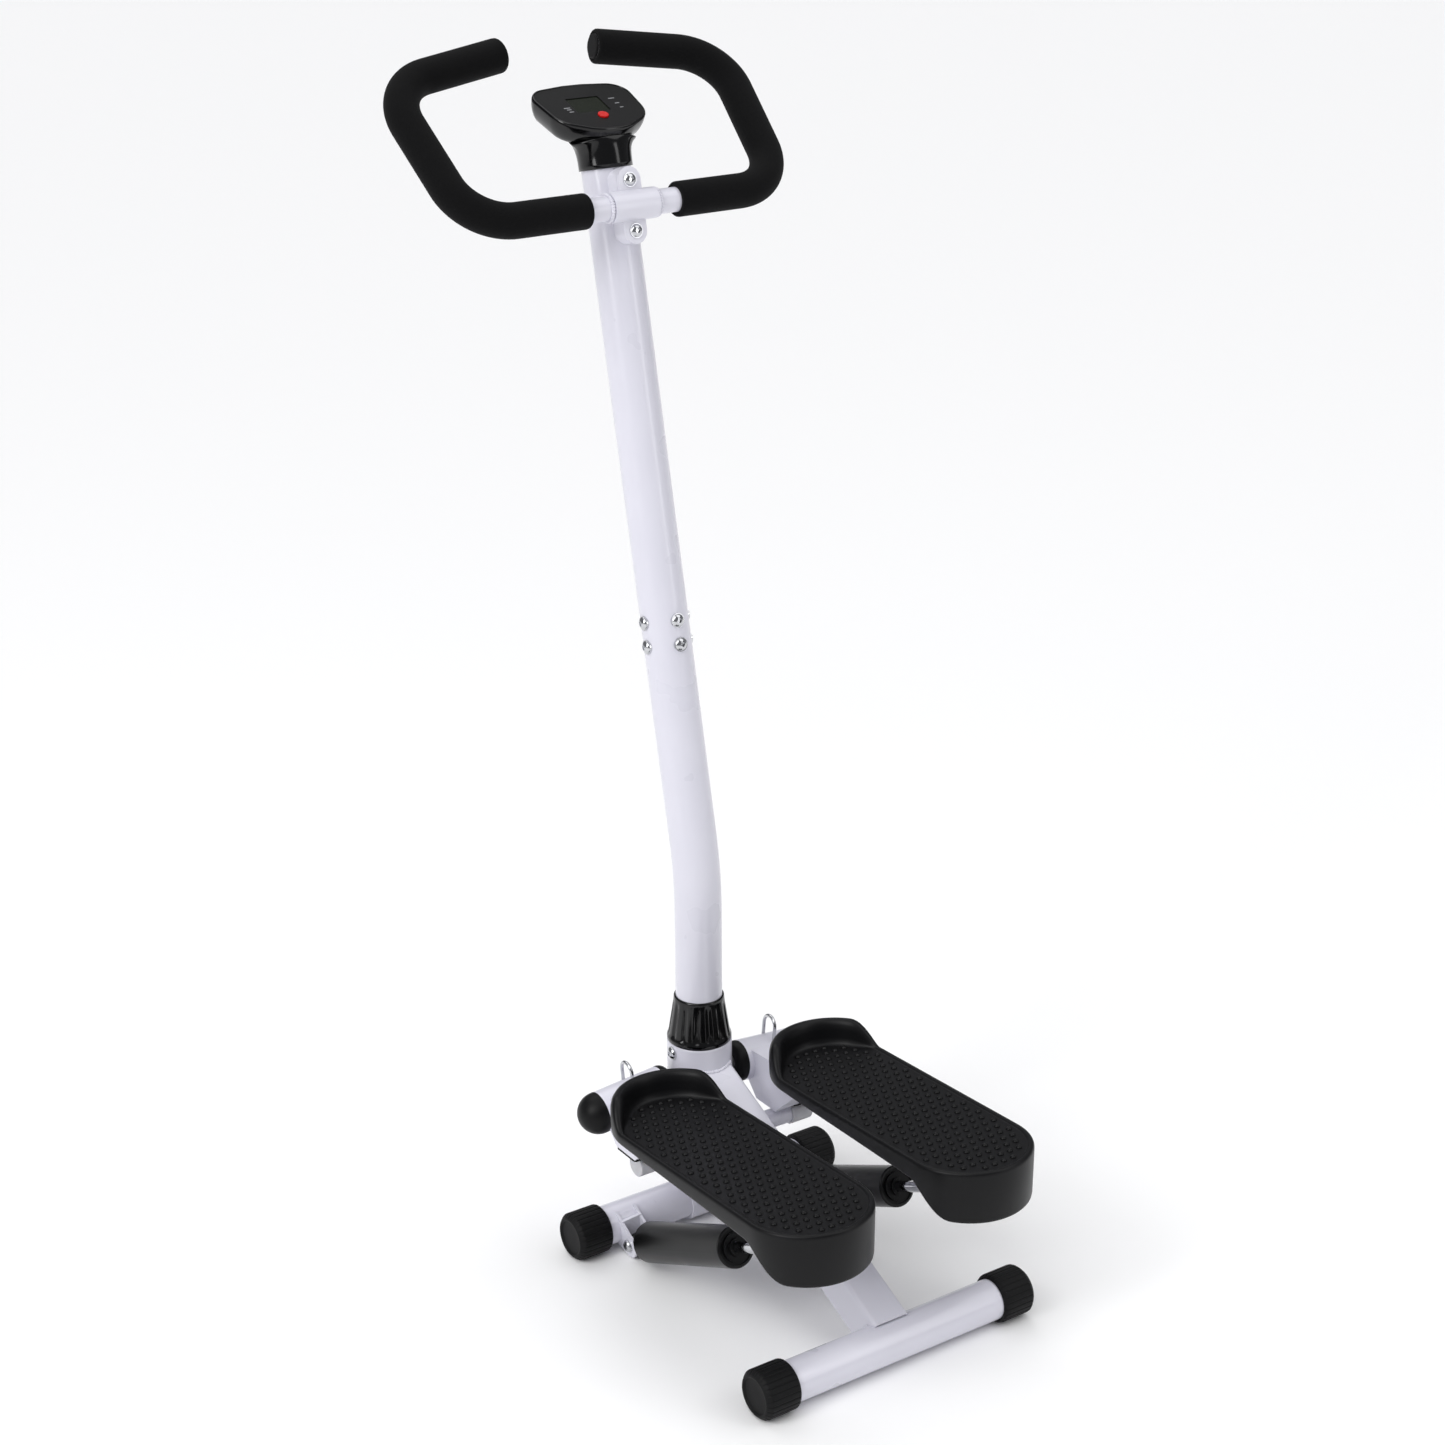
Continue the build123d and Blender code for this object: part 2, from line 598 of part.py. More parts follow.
# The pedal's outline is two half circles joined by straight sides.
toe_y = col_y - pedal_toe
heel_y = col_y - pedal_heel
mid_y = (toe_y + heel_y) / 2
low_z = heel_skirt_z - 2
with BuildPart() as pedal:
    with BuildSketch(Plane.XY.offset(low_z)):
        with Locations((pedal_x, mid_y)):
            SlotOverall(toe_y - heel_y, pedal_width, rotation=90)
    extrude(amount=toe_rim_z + 10 - low_z)
    # above the tread: everything goes but the wall round the toe
    with BuildSketch(Plane.YZ):
        with BuildLine():
            Polyline(
                behind(pedal_heel + 5, tread(pedal_heel + 5)), behind(0, tread(0)),
                behind(0, toe_rim_z + 40), behind(pedal_heel + 5, toe_rim_z + 40), close=True,
            )
        make_face()
    above = extrude(amount=400, both=True, mode=Mode.PRIVATE)
    with BuildSketch(Plane.XY.offset(low_z)):
        with Locations((pedal_x, mid_y - toe_wall / 2 - 1)):
            SlotOverall(toe_y - heel_y - toe_wall + 6, pedal_width - 14, rotation=90)
        with Locations((pedal_x, mid_y - 40)):
            Rectangle(pedal_width - 14, 150)
    well = extrude(amount=100, mode=Mode.PRIVATE)
    add(above & well, mode=Mode.SUBTRACT)
    with BuildSketch(Plane.YZ):
        with BuildLine():
            Polyline(
                behind(0, toe_rim_z + 14), behind(pedal_toe + 6, toe_rim_z),
                behind(toe_rim_back, tread(toe_rim_back)),
                behind(pedal_heel + 5, tread(pedal_heel + 5)), behind(pedal_heel + 5, toe_rim_z + 40),
                behind(0, toe_rim_z + 40), close=True,
            )
        make_face()
    extrude(amount=400, both=True, mode=Mode.SUBTRACT)
    # hollow underside
    with BuildSketch(Plane.XY.offset(low_z)):
        with Locations((pedal_x, mid_y)):
            SlotOverall(toe_y - heel_y - 2 * pedal_wall, pedal_width - 2 * pedal_wall, rotation=90)
    hollow = extrude(amount=100, mode=Mode.PRIVATE)
    with BuildSketch(Plane.YZ):
        with BuildLine():
            Polyline(
                behind(pedal_heel, tread(pedal_heel) - tread_skin), behind(0, tread(0) - tread_skin),
                behind(0, 0), behind(pedal_heel, 0), close=True,
            )
        make_face()
    below = extrude(amount=400, both=True, mode=Mode.PRIVATE)
    add(hollow & below, mode=Mode.SUBTRACT)
    # lower edge: shallow along the sides, deep round the heel
    with BuildSketch(Plane.YZ):
        with BuildLine():
            Polyline(
                behind(0, skirt_z - 3), behind(120, skirt_z), behind(heel_skirt_from, skirt_z + 2),
                behind(heel_skirt_to, heel_skirt_z), behind(pedal_heel + 5, heel_skirt_z),
                behind(pedal_heel + 5, 0), behind(0, 0), close=True,
            )
        make_face()
    extrude(amount=400, both=True, mode=Mode.SUBTRACT)
    # notch where the arm passes under the toe
    with BuildSketch(Plane.YZ.offset(arm_in - gap)):
        with BuildLine():
            Polyline(
                behind(0, tread(0) - tread_skin), behind(120, tread(120) - tread_skin),
                behind(120, 0), behind(0, 0), close=True,
            )
        make_face()
    extrude(amount=arm_out - arm_in + 2 * gap, mode=Mode.SUBTRACT)
    with Locations(*[(x, col_y - row, tread(row) - tread_skin) for x, row in screw_spots]):
        Cylinder(pedal_screw / 2 + snug, 2 * (tread_skin - 0.8), mode=Mode.SUBTRACT)
both_sides(pedal, "pedal")

# ---------------------------------------------------------------- rocker
rocker_front_y = col_y - post_side / 2 - rocker_spacer - gap
rocker_middle_y = col_y - rocker_y
hub_len = 2 * (rocker_front_y - rocker_middle_y)
hub_plane = Plane(origin=(0, rocker_front_y, rocker_z), x_dir=(1, 0, 0), z_dir=(0, -1, 0))
bolt_hole = rocker_bolt / 2 + running
glide_wall = 3.0
with BuildPart() as rocker_bar:
    with BuildSketch(Plane(origin=(0, rocker_middle_y, rocker_z), x_dir=(0, 1, 0), z_dir=(1, 0, 0))):
        Circle(rocker_dia / 2)
    extrude(amount=glide_out - glide_wall, both=True)
    with BuildSketch(hub_plane):
        Circle(rocker_hub / 2)
    extrude(amount=hub_len)
    with BuildSketch(hub_plane):
        Circle(bolt_hole)
    extrude(amount=hub_len, mode=Mode.SUBTRACT)
finish(rocker_bar, "rocker_bar")

with BuildPart() as rocker_glides:
    glide_plane = Plane(
        origin=(glide_out, rocker_middle_y, rocker_z), x_dir=(0, 1, 0), z_dir=(1, 0, 0)
    )
    with BuildSketch(glide_plane):
        Circle(glide_dia / 2)
    extrude(amount=-glide_len)
    fillet(rocker_glides.edges().filter_by(GeomType.CIRCLE).sort_by(Axis.X)[-1], 1.2)
    with BuildSketch(glide_plane.offset(-glide_wall)):
        Circle(rocker_dia / 2)
    extrude(amount=-glide_len, mode=Mode.SUBTRACT)
    mirror(about=Plane.YZ)
finish(rocker_glides, "rocker_glides")

# Bolt through the post's rear wall, with a spacer before the hub and a nut behind it.
wall_plane = Plane(origin=(0, col_y - post_side / 2, rocker_z), x_dir=(1, 0, 0), z_dir=(0, -1, 0))
nut_at = rocker_spacer + gap + hub_len + gap
with BuildPart() as rocker_bolt_set:
    with BuildSketch(wall_plane.offset(-post_wall)):
        RegularPolygon(8.0, 6, major_radius=False)
    extrude(amount=-6)
    with BuildSketch(wall_plane.offset(-post_wall)):
        Circle(rocker_bolt / 2)
    extrude(amount=post_wall + nut_at + 8)
    with BuildSketch(wall_plane):
        Circle(10)
    extrude(amount=rocker_spacer)
    with BuildSketch(wall_plane.offset(nut_at)):
        RegularPolygon(7.5, 6, rotation=30, major_radius=False)
    extrude(amount=7)
finish(rocker_bolt_set, "rocker_bolt")

# ---------------------------------------------------------------- cylinders
foot_y, foot_z = col_y + ram_foot[0], ram_foot[1]
head_y, head_z = col_y + ram_head[0], ram_head[1]
ram_run = Vector(0, head_y - foot_y, head_z - foot_z)
ram_length = ram_run.length
ram_dir = ram_run / ram_length
ram_wall = 3.0
cheek = bracket_gap / 2 + bracket_plate
cheek_radius = 13.6
nut_across = 13.0
nut_thick = 6.5
pin_past_nut = 2.5
eye_width = bracket_gap - 4


def along_ram(distance):
    """Plane square to the right-hand cylinder, a distance from its lower pivot."""
    origin = Vector(ram_x, foot_y, foot_z) + ram_dir * distance
    return Plane(origin=origin, x_dir=(1, 0, 0), z_dir=ram_dir)


def at_foot(offset):
    """Plane square to the right-hand lower pin, which leans like the pedal's own axis."""
    lean = Vector(cos(tilt), 0, -sin(tilt))
    return Plane(origin=Vector(ram_x, foot_y, foot_z) + lean * offset, x_dir=(0, 1, 0), z_dir=lean)


def at_head(offset):
    """Plane square to the right-hand upper pin, which lies level."""
    return Plane(origin=(ram_x + offset, head_y, head_z), x_dir=(0, 1, 0), z_dir=(1, 0, 0))


with BuildPart() as bracket:
    for inner in (-cheek, bracket_gap / 2):
        with BuildSketch(at_foot(inner)):
            Circle(cheek_radius)
            with BuildLine():
                Polyline((-4, 13), (24, 32), (30, 28), (30, -8), (-2, -13.4), close=True)
            make_face()
            Circle(ram_pin / 2, mode=Mode.SUBTRACT)
        extrude(amount=bracket_plate)
    with BuildSketch(at_foot(-cheek)):
        with Locations((front_y - bar_dia / 2 - foot_y, 11)):
            Rectangle(2 * bracket_plate - 2, 26)
    extrude(amount=2 * cheek)
    with BuildSketch(Plane.YZ):
        with Locations((front_y, bar_z)):
            Circle(bar_dia / 2)
    extrude(amount=200, mode=Mode.SUBTRACT)
    with BuildSketch(Plane.YZ):
        with Locations((front_y + 50, bar_z)):
            Rectangle(100 + bar_dia * 0.5, 100)
    extrude(amount=200, mode=Mode.SUBTRACT)
    mirror(about=Plane.YZ)
finish(bracket, "cylinder_brackets")


def pin_set(seat):
    """Button-head pin through a pair of cheeks, head outboard, nut inboard; seat gives its planes."""
    head = button_screw(0).moved(seat(cheek).location)
    with BuildPart() as pin:
        add(head)
        with BuildSketch(seat(cheek)):
            Circle(ram_pin / 2)
        extrude(amount=-2 * cheek - nut_thick - pin_past_nut)
        with BuildSketch(seat(-cheek)):
            RegularPolygon(nut_across / 2, 6, major_radius=False)
        extrude(amount=-nut_thick)
    return pin


foot_pin = pin_set(at_foot)
with BuildPart() as lower_pins:
    add(foot_pin.part)
    mirror(about=Plane.YZ)
finish(lower_pins, "cylinder_pins")
both_sides(pin_set(at_head), "rod_pin")

with BuildPart() as ram:
    with BuildSketch(along_ram(ram_from)):
        Circle(ram_dia / 2)
    extrude(amount=ram_to - ram_from)
    ends = ram.edges().filter_by(GeomType.CIRCLE).sort_by(Axis.Y)
    chamfer(ends[-1], 8, 5)
    fillet(ends[0], 1.5)
    with BuildSketch(along_ram(ram_from + 2 * ram_wall)):
        Circle(ram_dia / 2 - ram_wall)
    extrude(amount=ram_to - ram_from, mode=Mode.SUBTRACT)
    with BuildSketch(along_ram(0)):
        Circle(7)
    extrude(amount=ram_from + 1)
    with BuildSketch(at_foot(-eye_width / 2)):
        Circle(ram_eye / 2)
    extrude(amount=eye_width)
    with BuildSketch(at_foot(-eye_width / 2)):
        Circle(ram_pin / 2 + running)
    extrude(amount=eye_width, mode=Mode.SUBTRACT)
both_sides(ram, "cylinder")

gland_len = 14.0
with BuildPart() as gland:
    with BuildSketch(along_ram(ram_to - gland_len)):
        Circle(ram_dia / 2 - ram_wall - 0.02)
    extrude(amount=gland_len - 1.5)
    with BuildSketch(along_ram(ram_to - 1.5)):
        Circle(ram_dia / 2 - 2 * ram_wall - 1)
    extrude(amount=2.5)
    with BuildSketch(along_ram(ram_to + 1)):
        Circle(rod_dia / 2 + 3.2)
    extrude(amount=3)
    with BuildSketch(along_ram(ram_to - gland_len)):
        Circle(rod_dia / 2 + running)
    extrude(amount=gland_len + 10, mode=Mode.SUBTRACT)
both_sides(gland, "cylinder_gland")

piston_at = 108.0
piston_len = 16.0
with BuildPart() as rod:
    with BuildSketch(along_ram(piston_at)):
        Circle(ram_dia / 2 - ram_wall - running)
    extrude(amount=piston_len)
    with BuildSketch(along_ram(piston_at)):
        Circle(rod_dia / 2)
    extrude(amount=ram_length - piston_at)
    with BuildSketch(at_head(2 - eye_width / 2)):
        Circle(rod_eye_bore / 2 + 4)
    extrude(amount=eye_width - 4)
    with BuildSketch(at_head(-eye_width / 2)):
        Circle(rod_eye_bore / 2)
    extrude(amount=eye_width, mode=Mode.SUBTRACT)
both_sides(rod, "piston_rod")

# ---------------------------------------------------------------- handlebar
grip_middle = up_column(grip_reach) + user_dir * grip_offset
loop_plane = Plane(origin=grip_middle, x_dir=(1, 0, 0), z_dir=(0, -sin(grip_tilt), cos(grip_tilt)))
right_loop = [(loop_low_x, 0), loop_high, loop_end]
left_loop = [(-x, q) for x, q in reversed(right_loop)]
with BuildPart() as grip_tube:
    with BuildLine(loop_plane) as bar_path:
        FilletPolyline(*left_loop, *right_loop, radius=loop_radius)
    with BuildSketch(Plane(origin=bar_path.line @ 0, z_dir=bar_path.line % 0)):
        Circle(grip_tube_dia / 2)
        Circle(grip_tube_dia / 2 - grip_tube_wall, mode=Mode.SUBTRACT)
    sweep()
finish(grip_tube, "handlebar_tube")

with BuildPart() as grip:
    with BuildLine(loop_plane) as grip_path:
        FilletPolyline((foam_from, 0), *right_loop, radius=loop_radius)
    with BuildSketch(Plane(origin=grip_path.line @ 0, z_dir=grip_path.line % 0)):
        Circle(foam_dia / 2)
        Circle(grip_tube_dia / 2 + 0.02, mode=Mode.SUBTRACT)
    sweep()
both_sides(grip, "foam_grip")

with BuildPart() as plugs:
    end_plane = Plane(origin=grip_path.line @ 1, z_dir=grip_path.line % 1)
    with BuildSketch(end_plane.offset(-12)):
        Circle(grip_tube_dia / 2 - grip_tube_wall - 0.05)
    extrude(amount=12)
    with BuildSketch(end_plane):
        Circle(grip_tube_dia / 2)
    extrude(amount=2.5)
    fillet(plugs.edges().filter_by(GeomType.CIRCLE).sort_by(Axis.X)[0], 1.8)
    mirror(about=Plane.YZ)
finish(plugs, "grip_plugs")

# Clamp planes: local x is +X, local y is up the column, local z is towards the user.
clamp_plane = Plane(origin=up_column(grip_reach), x_dir=(1, 0, 0), z_dir=user_dir)
tube_axis = Location(grip_middle, (0, 90, 0))
shell = clamp_plate_t + grip_tube_dia / 2 + running
with BuildPart() as saddle:
    with BuildSketch(clamp_plane):
        with Locations((0, clamp_pitch / 2), (0, -clamp_pitch / 2)):
            Circle(clamp_ear)
        Rectangle(2 * clamp_ear, clamp_pitch)
    extrude(amount=grip_offset - gap / 2)
    with BuildSketch(Plane(origin=grip_middle - Vector(clamp_width / 2, 0, 0), z_dir=(1, 0, 0))):
        Circle(shell)
    extrude(amount=clamp_width)
    with BuildSketch(clamp_plane.offset(grip_offset - gap / 2)):
        Rectangle(200, 200)
    extrude(amount=60, mode=Mode.SUBTRACT)
    with Locations(clamp_plane.location * Location((0, 0, 0), (90, 0, 0))):
        Cylinder(column_dia / 2, 200, mode=Mode.SUBTRACT)
    with BuildSketch(clamp_plane.offset(0)):
        Rectangle(200, 200)
    extrude(amount=-60, mode=Mode.SUBTRACT)
    with Locations(tube_axis):
        Cylinder(grip_tube_dia / 2 + running, 200, mode=Mode.SUBTRACT)
    with BuildSketch(clamp_plane.offset(column_dia / 2 + 2)):
        with Locations((0, clamp_pitch / 2), (0, -clamp_pitch / 2)):
            Circle(screw_dia / 2)
    extrude(amount=30, mode=Mode.SUBTRACT)
finish(saddle, "clamp_saddle")

with BuildPart() as clamp:
    with BuildSketch(clamp_plane.offset(grip_offset + gap / 2)):
        with Locations((0, clamp_pitch / 2), (0, -clamp_pitch / 2)):
            Circle(clamp_ear)
        Rectangle(2 * clamp_ear, clamp_pitch)
    extrude(amount=clamp_plate_t)
    with BuildSketch(Plane(origin=grip_middle - Vector(clamp_width / 2, 0, 0), z_dir=(1, 0, 0))):
        Circle(shell)
    extrude(amount=clamp_width)
    with BuildSketch(clamp_plane.offset(grip_offset + gap / 2)):
        Rectangle(200, 200)
    extrude(amount=-60, mode=Mode.SUBTRACT)
    with Locations(tube_axis):
        Cylinder(grip_tube_dia / 2 + running, 200, mode=Mode.SUBTRACT)
    with BuildSketch(clamp_plane):
        with Locations((0, clamp_pitch / 2), (0, -clamp_pitch / 2)):
            Circle(screw_dia / 2 + snug)
    extrude(amount=60, mode=Mode.SUBTRACT)
finish(clamp, "clamp_plate")

plate_face = grip_offset + gap / 2 + clamp_plate_t
clamp_screw = button_screw(plate_face - column_dia / 2 - 3)
with BuildPart() as clamp_screws:
    for side in (-1, 1):
        seat = clamp_plane.offset(plate_face).location * Location((0, side * clamp_pitch / 2, 0))
        add(clamp_screw.moved(seat))
finish(clamp_screws, "clamp_screws")

# ---------------------------------------------------------------- console
console_dir = Vector(0, -sin(radians(console_tilt)), cos(radians(console_tilt)))
console_plane = Plane(origin=(0, col_y + console_at[0], console_at[1]), x_dir=(1, 0, 0), z_dir=console_dir)
floor_plane = console_plane.offset(-console_deep)


def shield(inset):
    """The console's rounded outline, drawn inside an open sketch, inset from its full size."""
    for x, y, radius in shield_rounds:
        with Locations((-x, y), (x, y)):
            Circle(radius - inset)
    make_hull()


with BuildPart() as housing:
    with BuildSketch(floor_plane):
        shield(7)
    with BuildSketch(console_plane.offset(-8)):
        shield(0)
    loft()
    with BuildSketch(console_plane.offset(-8)):
        shield(0)
    extrude(amount=8)
    with BuildSketch(floor_plane.offset(console_wall)):
        shield(7 + console_wall)
    with BuildSketch(console_plane.offset(-8)):
        shield(console_wall)
    loft(mode=Mode.SUBTRACT)
    with BuildSketch(console_plane.offset(-8.01)):
        shield(console_wall)
    extrude(amount=9, mode=Mode.SUBTRACT)
finish(housing, "console_housing")

neck_plane = across_column(neck_reach)
recess_top = column_reach + 1
neck_wall = 2.0
neck_flare = 39.0
with BuildPart() as neck:
    with BuildSketch(neck_plane):
        Circle(neck_dia / 2)
    with BuildSketch(floor_plane):
        with Locations((0, 3)):
            Circle(neck_flare)
    loft()
    with BuildSketch(across_column(recess_top + 1)):
        Circle(neck_dia / 2 - 2 * neck_wall)
    with BuildSketch(floor_plane):
        with Locations((0, 3)):
            Circle(neck_flare - 2 * neck_wall)
    loft(mode=Mode.SUBTRACT)
    with BuildSketch(neck_plane.offset(-1)):
        Circle(column_dia / 2 + snug)
    extrude(amount=recess_top - neck_reach + 1, mode=Mode.SUBTRACT)
finish(neck, "console_neck")

cover_top = -0.9
with BuildPart() as cover:
    with BuildSketch(console_plane.offset(cover_top)):
        shield(console_wall + snug)
    extrude(amount=-cover_thick)
    with BuildSketch(console_plane.offset(cover_top)):
        with Locations(lcd_at):
            RectangleRounded(*lcd_size, 1.5)
        with Locations(button_at):
            Circle(button_dia / 2 + gap)
    extrude(amount=-cover_thick, mode=Mode.SUBTRACT)
finish(cover, "console_cover")

with BuildPart() as lens:
    with BuildSketch(console_plane.offset(cover_top - 0.8)):
        with Locations(lcd_at):
            RectangleRounded(lcd_size[0] - 2 * snug, lcd_size[1] - 2 * snug, 1.4)
    extrude(amount=-0.8)
finish(lens, "lcd_lens")

with BuildPart() as button:
    with BuildSketch(console_plane.offset(cover_top + button_travel + 0.3)):
        with Locations(button_at):
            Circle(button_dia / 2)
    extrude(amount=-button_travel - cover_thick - 0.8)
    fillet(button.faces().sort_by(Axis.Z)[-1].edges(), 0.8)
    with BuildSketch(console_plane.offset(cover_top - cover_thick - 0.1)):
        with Locations(button_at):
            Circle(button_dia / 2 + 1.2)
    extrude(amount=-0.8)
finish(button, "console_button")

board_top = cover_top - cover_thick - 0.9 - button_travel - 1.6
board_thick = 1.2
with BuildPart() as board:
    with BuildSketch(console_plane.offset(board_top)):
        with Locations((0, 6)):
            RectangleRounded(64, 50, 3)
    extrude(amount=-board_thick)
    with BuildSketch(console_plane.offset(board_top)):
        with Locations(lcd_at):
            Rectangle(lcd_size[0] + 2, lcd_size[1] + 1)
    extrude(amount=-(board_top - cover_top + cover_thick + 0.2))
    with BuildSketch(console_plane.offset(board_top)):
        with Locations(button_at):
            Rectangle(6, 3.5)
    extrude(amount=1.2)
finish(board, "circuit_board")

with BuildPart() as battery:
    with BuildSketch(console_plane.offset(board_top - board_thick)):
        with Locations((0, 8)):
            Circle(5.8)
    extrude(amount=-5.4)
finish(battery, "button_cell")
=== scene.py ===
import json
from math import asin, atan2, cos, pi, radians, sin, sqrt, tan

import bmesh
import bpy
from mathutils import Euler, Matrix, Vector


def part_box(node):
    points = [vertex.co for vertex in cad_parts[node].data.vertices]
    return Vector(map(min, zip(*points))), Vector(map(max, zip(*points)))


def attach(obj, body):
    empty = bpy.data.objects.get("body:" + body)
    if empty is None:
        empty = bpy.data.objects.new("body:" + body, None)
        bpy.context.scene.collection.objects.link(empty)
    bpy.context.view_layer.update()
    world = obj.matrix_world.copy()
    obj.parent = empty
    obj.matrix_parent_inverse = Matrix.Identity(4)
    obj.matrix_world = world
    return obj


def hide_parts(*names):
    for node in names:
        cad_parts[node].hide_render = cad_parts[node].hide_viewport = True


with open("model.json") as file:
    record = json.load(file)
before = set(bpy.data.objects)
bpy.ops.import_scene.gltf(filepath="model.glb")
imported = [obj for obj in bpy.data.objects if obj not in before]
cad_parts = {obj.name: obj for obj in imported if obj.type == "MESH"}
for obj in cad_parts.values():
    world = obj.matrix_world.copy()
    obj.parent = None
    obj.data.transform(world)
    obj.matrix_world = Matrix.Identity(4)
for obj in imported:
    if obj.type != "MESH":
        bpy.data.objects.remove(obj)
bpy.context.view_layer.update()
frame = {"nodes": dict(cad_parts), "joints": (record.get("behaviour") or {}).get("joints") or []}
cad = frame["nodes"]

# ---- Studio ------------------------------------------------------------------------------------
# A white sweep on the floor in a pale room, lit evenly from three sides, with two tall soft lamps.
# The lens looks down a little from the user's left, behind the machine.
column_y = (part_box("collar")[0].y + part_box("collar")[1].y) / 2
lens = bpy.data.cameras.new("studio_camera")
lens.lens = 68.3
lens.sensor_width = 36
camera = bpy.data.objects.new("studio_camera", lens)
camera.location = (-1.4446, column_y - 2.1818, 1.6174)
camera.rotation_euler = Euler([radians(a) for a in (68.381, 0.273, -34.202)])
bpy.context.collection.objects.link(camera)
bpy.context.scene.camera = camera
bpy.context.scene.view_settings.view_transform = "Standard"


def linear(code):
    """Linear RGBA of an sRGB hex colour."""
    parts = [int(code[i:i + 2], 16) / 255 for i in (0, 2, 4)]
    return (*[p / 12.92 if p <= 0.04045 else ((p + 0.055) / 1.055) ** 2.4 for p in parts], 1)


def add(tree, kind, inputs=None, **settings):
    """Add a node with its settings; an input is a value, or an output socket to link from."""
    made = tree.nodes.new(kind)
    for name, value in settings.items():
        setattr(made, name, value)
    for name, value in (inputs or {}).items():
        if isinstance(value, bpy.types.NodeSocket):
            tree.links.new(value, made.inputs[name])
        else:
            made.inputs[name].default_value = value
    return made


def finish_material(name, build):
    """A new material whose Principled shader's sockets are what build(tree) returns."""
    material = bpy.data.materials.new(name)
    material.use_nodes = True
    tree = material.node_tree
    tree.nodes.clear()
    shader = add(tree, "ShaderNodeBsdfPrincipled", build(tree))
    add(tree, "ShaderNodeOutputMaterial", {"Surface": shader.outputs[0]})
    return material


def solid_piece(name, vertices, faces, smooth=True):
    """A mesh object at the origin from points and faces, with its normals made consistent."""
    mesh = bpy.data.meshes.new(name)
    mesh.from_pydata([tuple(v) for v in vertices], [], faces)
    shell = bmesh.new()
    shell.from_mesh(mesh)
    bmesh.ops.remove_doubles(shell, verts=shell.verts, dist=1e-6)
    bmesh.ops.recalc_face_normals(shell, faces=shell.faces)
    shell.to_mesh(mesh)
    shell.free()
    mesh.polygons.foreach_set("use_smooth", [smooth] * len(mesh.polygons))
    piece = bpy.data.objects.new(name, mesh)
    bpy.context.collection.objects.link(piece)
    return piece


def floor_colour(tree):
    return {"Base Color": linear("ffffff"), "Roughness": 0.9, "Specular IOR Level": 0.1}


reach = 12.0
floor_corners = [(-reach, -reach, 0), (reach, -reach, 0), (reach, reach, 0), (-reach, reach, 0)]
floor = solid_piece("floor", floor_corners, [(0, 1, 2, 3)], smooth=False)
floor.data.materials.append(finish_material("matt_white_sweep", floor_colour))
room = bpy.data.worlds.new("pale_room")
room.use_nodes = True
room.node_tree.nodes["Background"].inputs["Color"].default_value = linear("f4f5fb")
room.node_tree.nodes["Background"].inputs["Strength"].default_value = 0.24
bpy.context.scene.world = room
sky_spread = radians(50)
# name, heading and height of each sun in degrees, power
for name, heading, height, power in (
    ("left_sky", 200, 50, 1.2), ("right_sky", -35, 58, 0.75), ("back_sky", 80, 62, 0.8),
):
    sky = bpy.data.lights.new(name, "SUN")
    sky.energy = power
    sky.angle = sky_spread
    sky_object = bpy.data.objects.new(name, sky)
    sky_object.rotation_euler = Euler([0, radians(90 - height), radians(heading)])
    bpy.context.collection.objects.link(sky_object)
lamp_target = Vector((0, column_y - 0.05, 0.55))
for name, place, width, height, power in (
    ("key_lamp", (-2.6, -0.4, 1.9), 0.7, 1.8, 24),
    ("fill_lamp", (1.4, -2.4, 1.6), 0.6, 1.8, 9),
):
    lamp = bpy.data.lights.new(name, "AREA")
    lamp.shape = "RECTANGLE"
    lamp.size, lamp.size_y = width, height
    lamp.energy = power
    lamp_object = bpy.data.objects.new(name, lamp)
    lamp_object.location = place
    aim = lamp_target - Vector(place)
    lamp_object.rotation_euler = aim.to_track_quat("-Z", "Y").to_euler()
    bpy.context.collection.objects.link(lamp_object)

# ---- White steel: crossbars, spine, post, collar, column, arms, clamp --------------------------
# Steel tube and plate, welded, then sprayed with cool white powder and baked. The skin is glossy
# with a faint orange peel of about 1.5 mm, and a little greyer where the powder lies thin.
peel_width = 0.0015
peel_height = 0.00006


def clouded(tree, per_metre, detail, dark, light, **more):
    """Object coordinates, clouds on them (so many a metre), and a colour that drifts with the clouds."""
    place = add(tree, "ShaderNodeTexCoord").outputs["Object"]
    inputs = {"Vector": place, "Scale": per_metre, "Detail": detail, **more}
    clouds = add(tree, "ShaderNodeTexNoise", inputs).outputs["Fac"]
    tone = add(tree, "ShaderNodeMix", {"Factor": clouds, 6: linear(dark), 7: linear(light)}, data_type="RGBA")
    return place, clouds, tone.outputs[2]


def powder_coat(tree):
    place, clouds, tone = clouded(tree, 14.0, 3.0, "d9d8e3", "e2e1eb")
    peel = add(tree, "ShaderNodeTexNoise", {"Vector": place, "Scale": 1 / peel_width, "Detail": 1.0})
    relief = add(tree, "ShaderNodeBump",
                 {"Height": peel.outputs["Fac"], "Distance": peel_height, "Strength": 0.35})
    gloss = add(tree, "ShaderNodeMapRange", {"Value": clouds, "To Min": 0.24, "To Max": 0.33})
    return {"Base Color": tone, "Roughness": gloss.outputs[0], "Normal": relief.outputs[0],
            "Coat Weight": 0.35, "Coat Roughness": 0.12, "IOR": 1.5}


white_coat = finish_material("white_powder_coat_on_steel", powder_coat)
white_nodes = ["front_crossbar", "rear_crossbar", "spine", "front_post", "collar", "column_lower",
               "column_upper", "pivot_sleeve_left", "pivot_sleeve_right", "pedal_arm_left",
               "pedal_arm_right", "rocker_bar", "cylinder_brackets", "handlebar_tube", "clamp_saddle",
               "clamp_plate"]


def coat(names, material):
    """Give each named CAD piece this material."""
    for name in names:
        cad[name].data.materials.clear()
        cad[name].data.materials.append(material)


coat(white_nodes, white_coat)

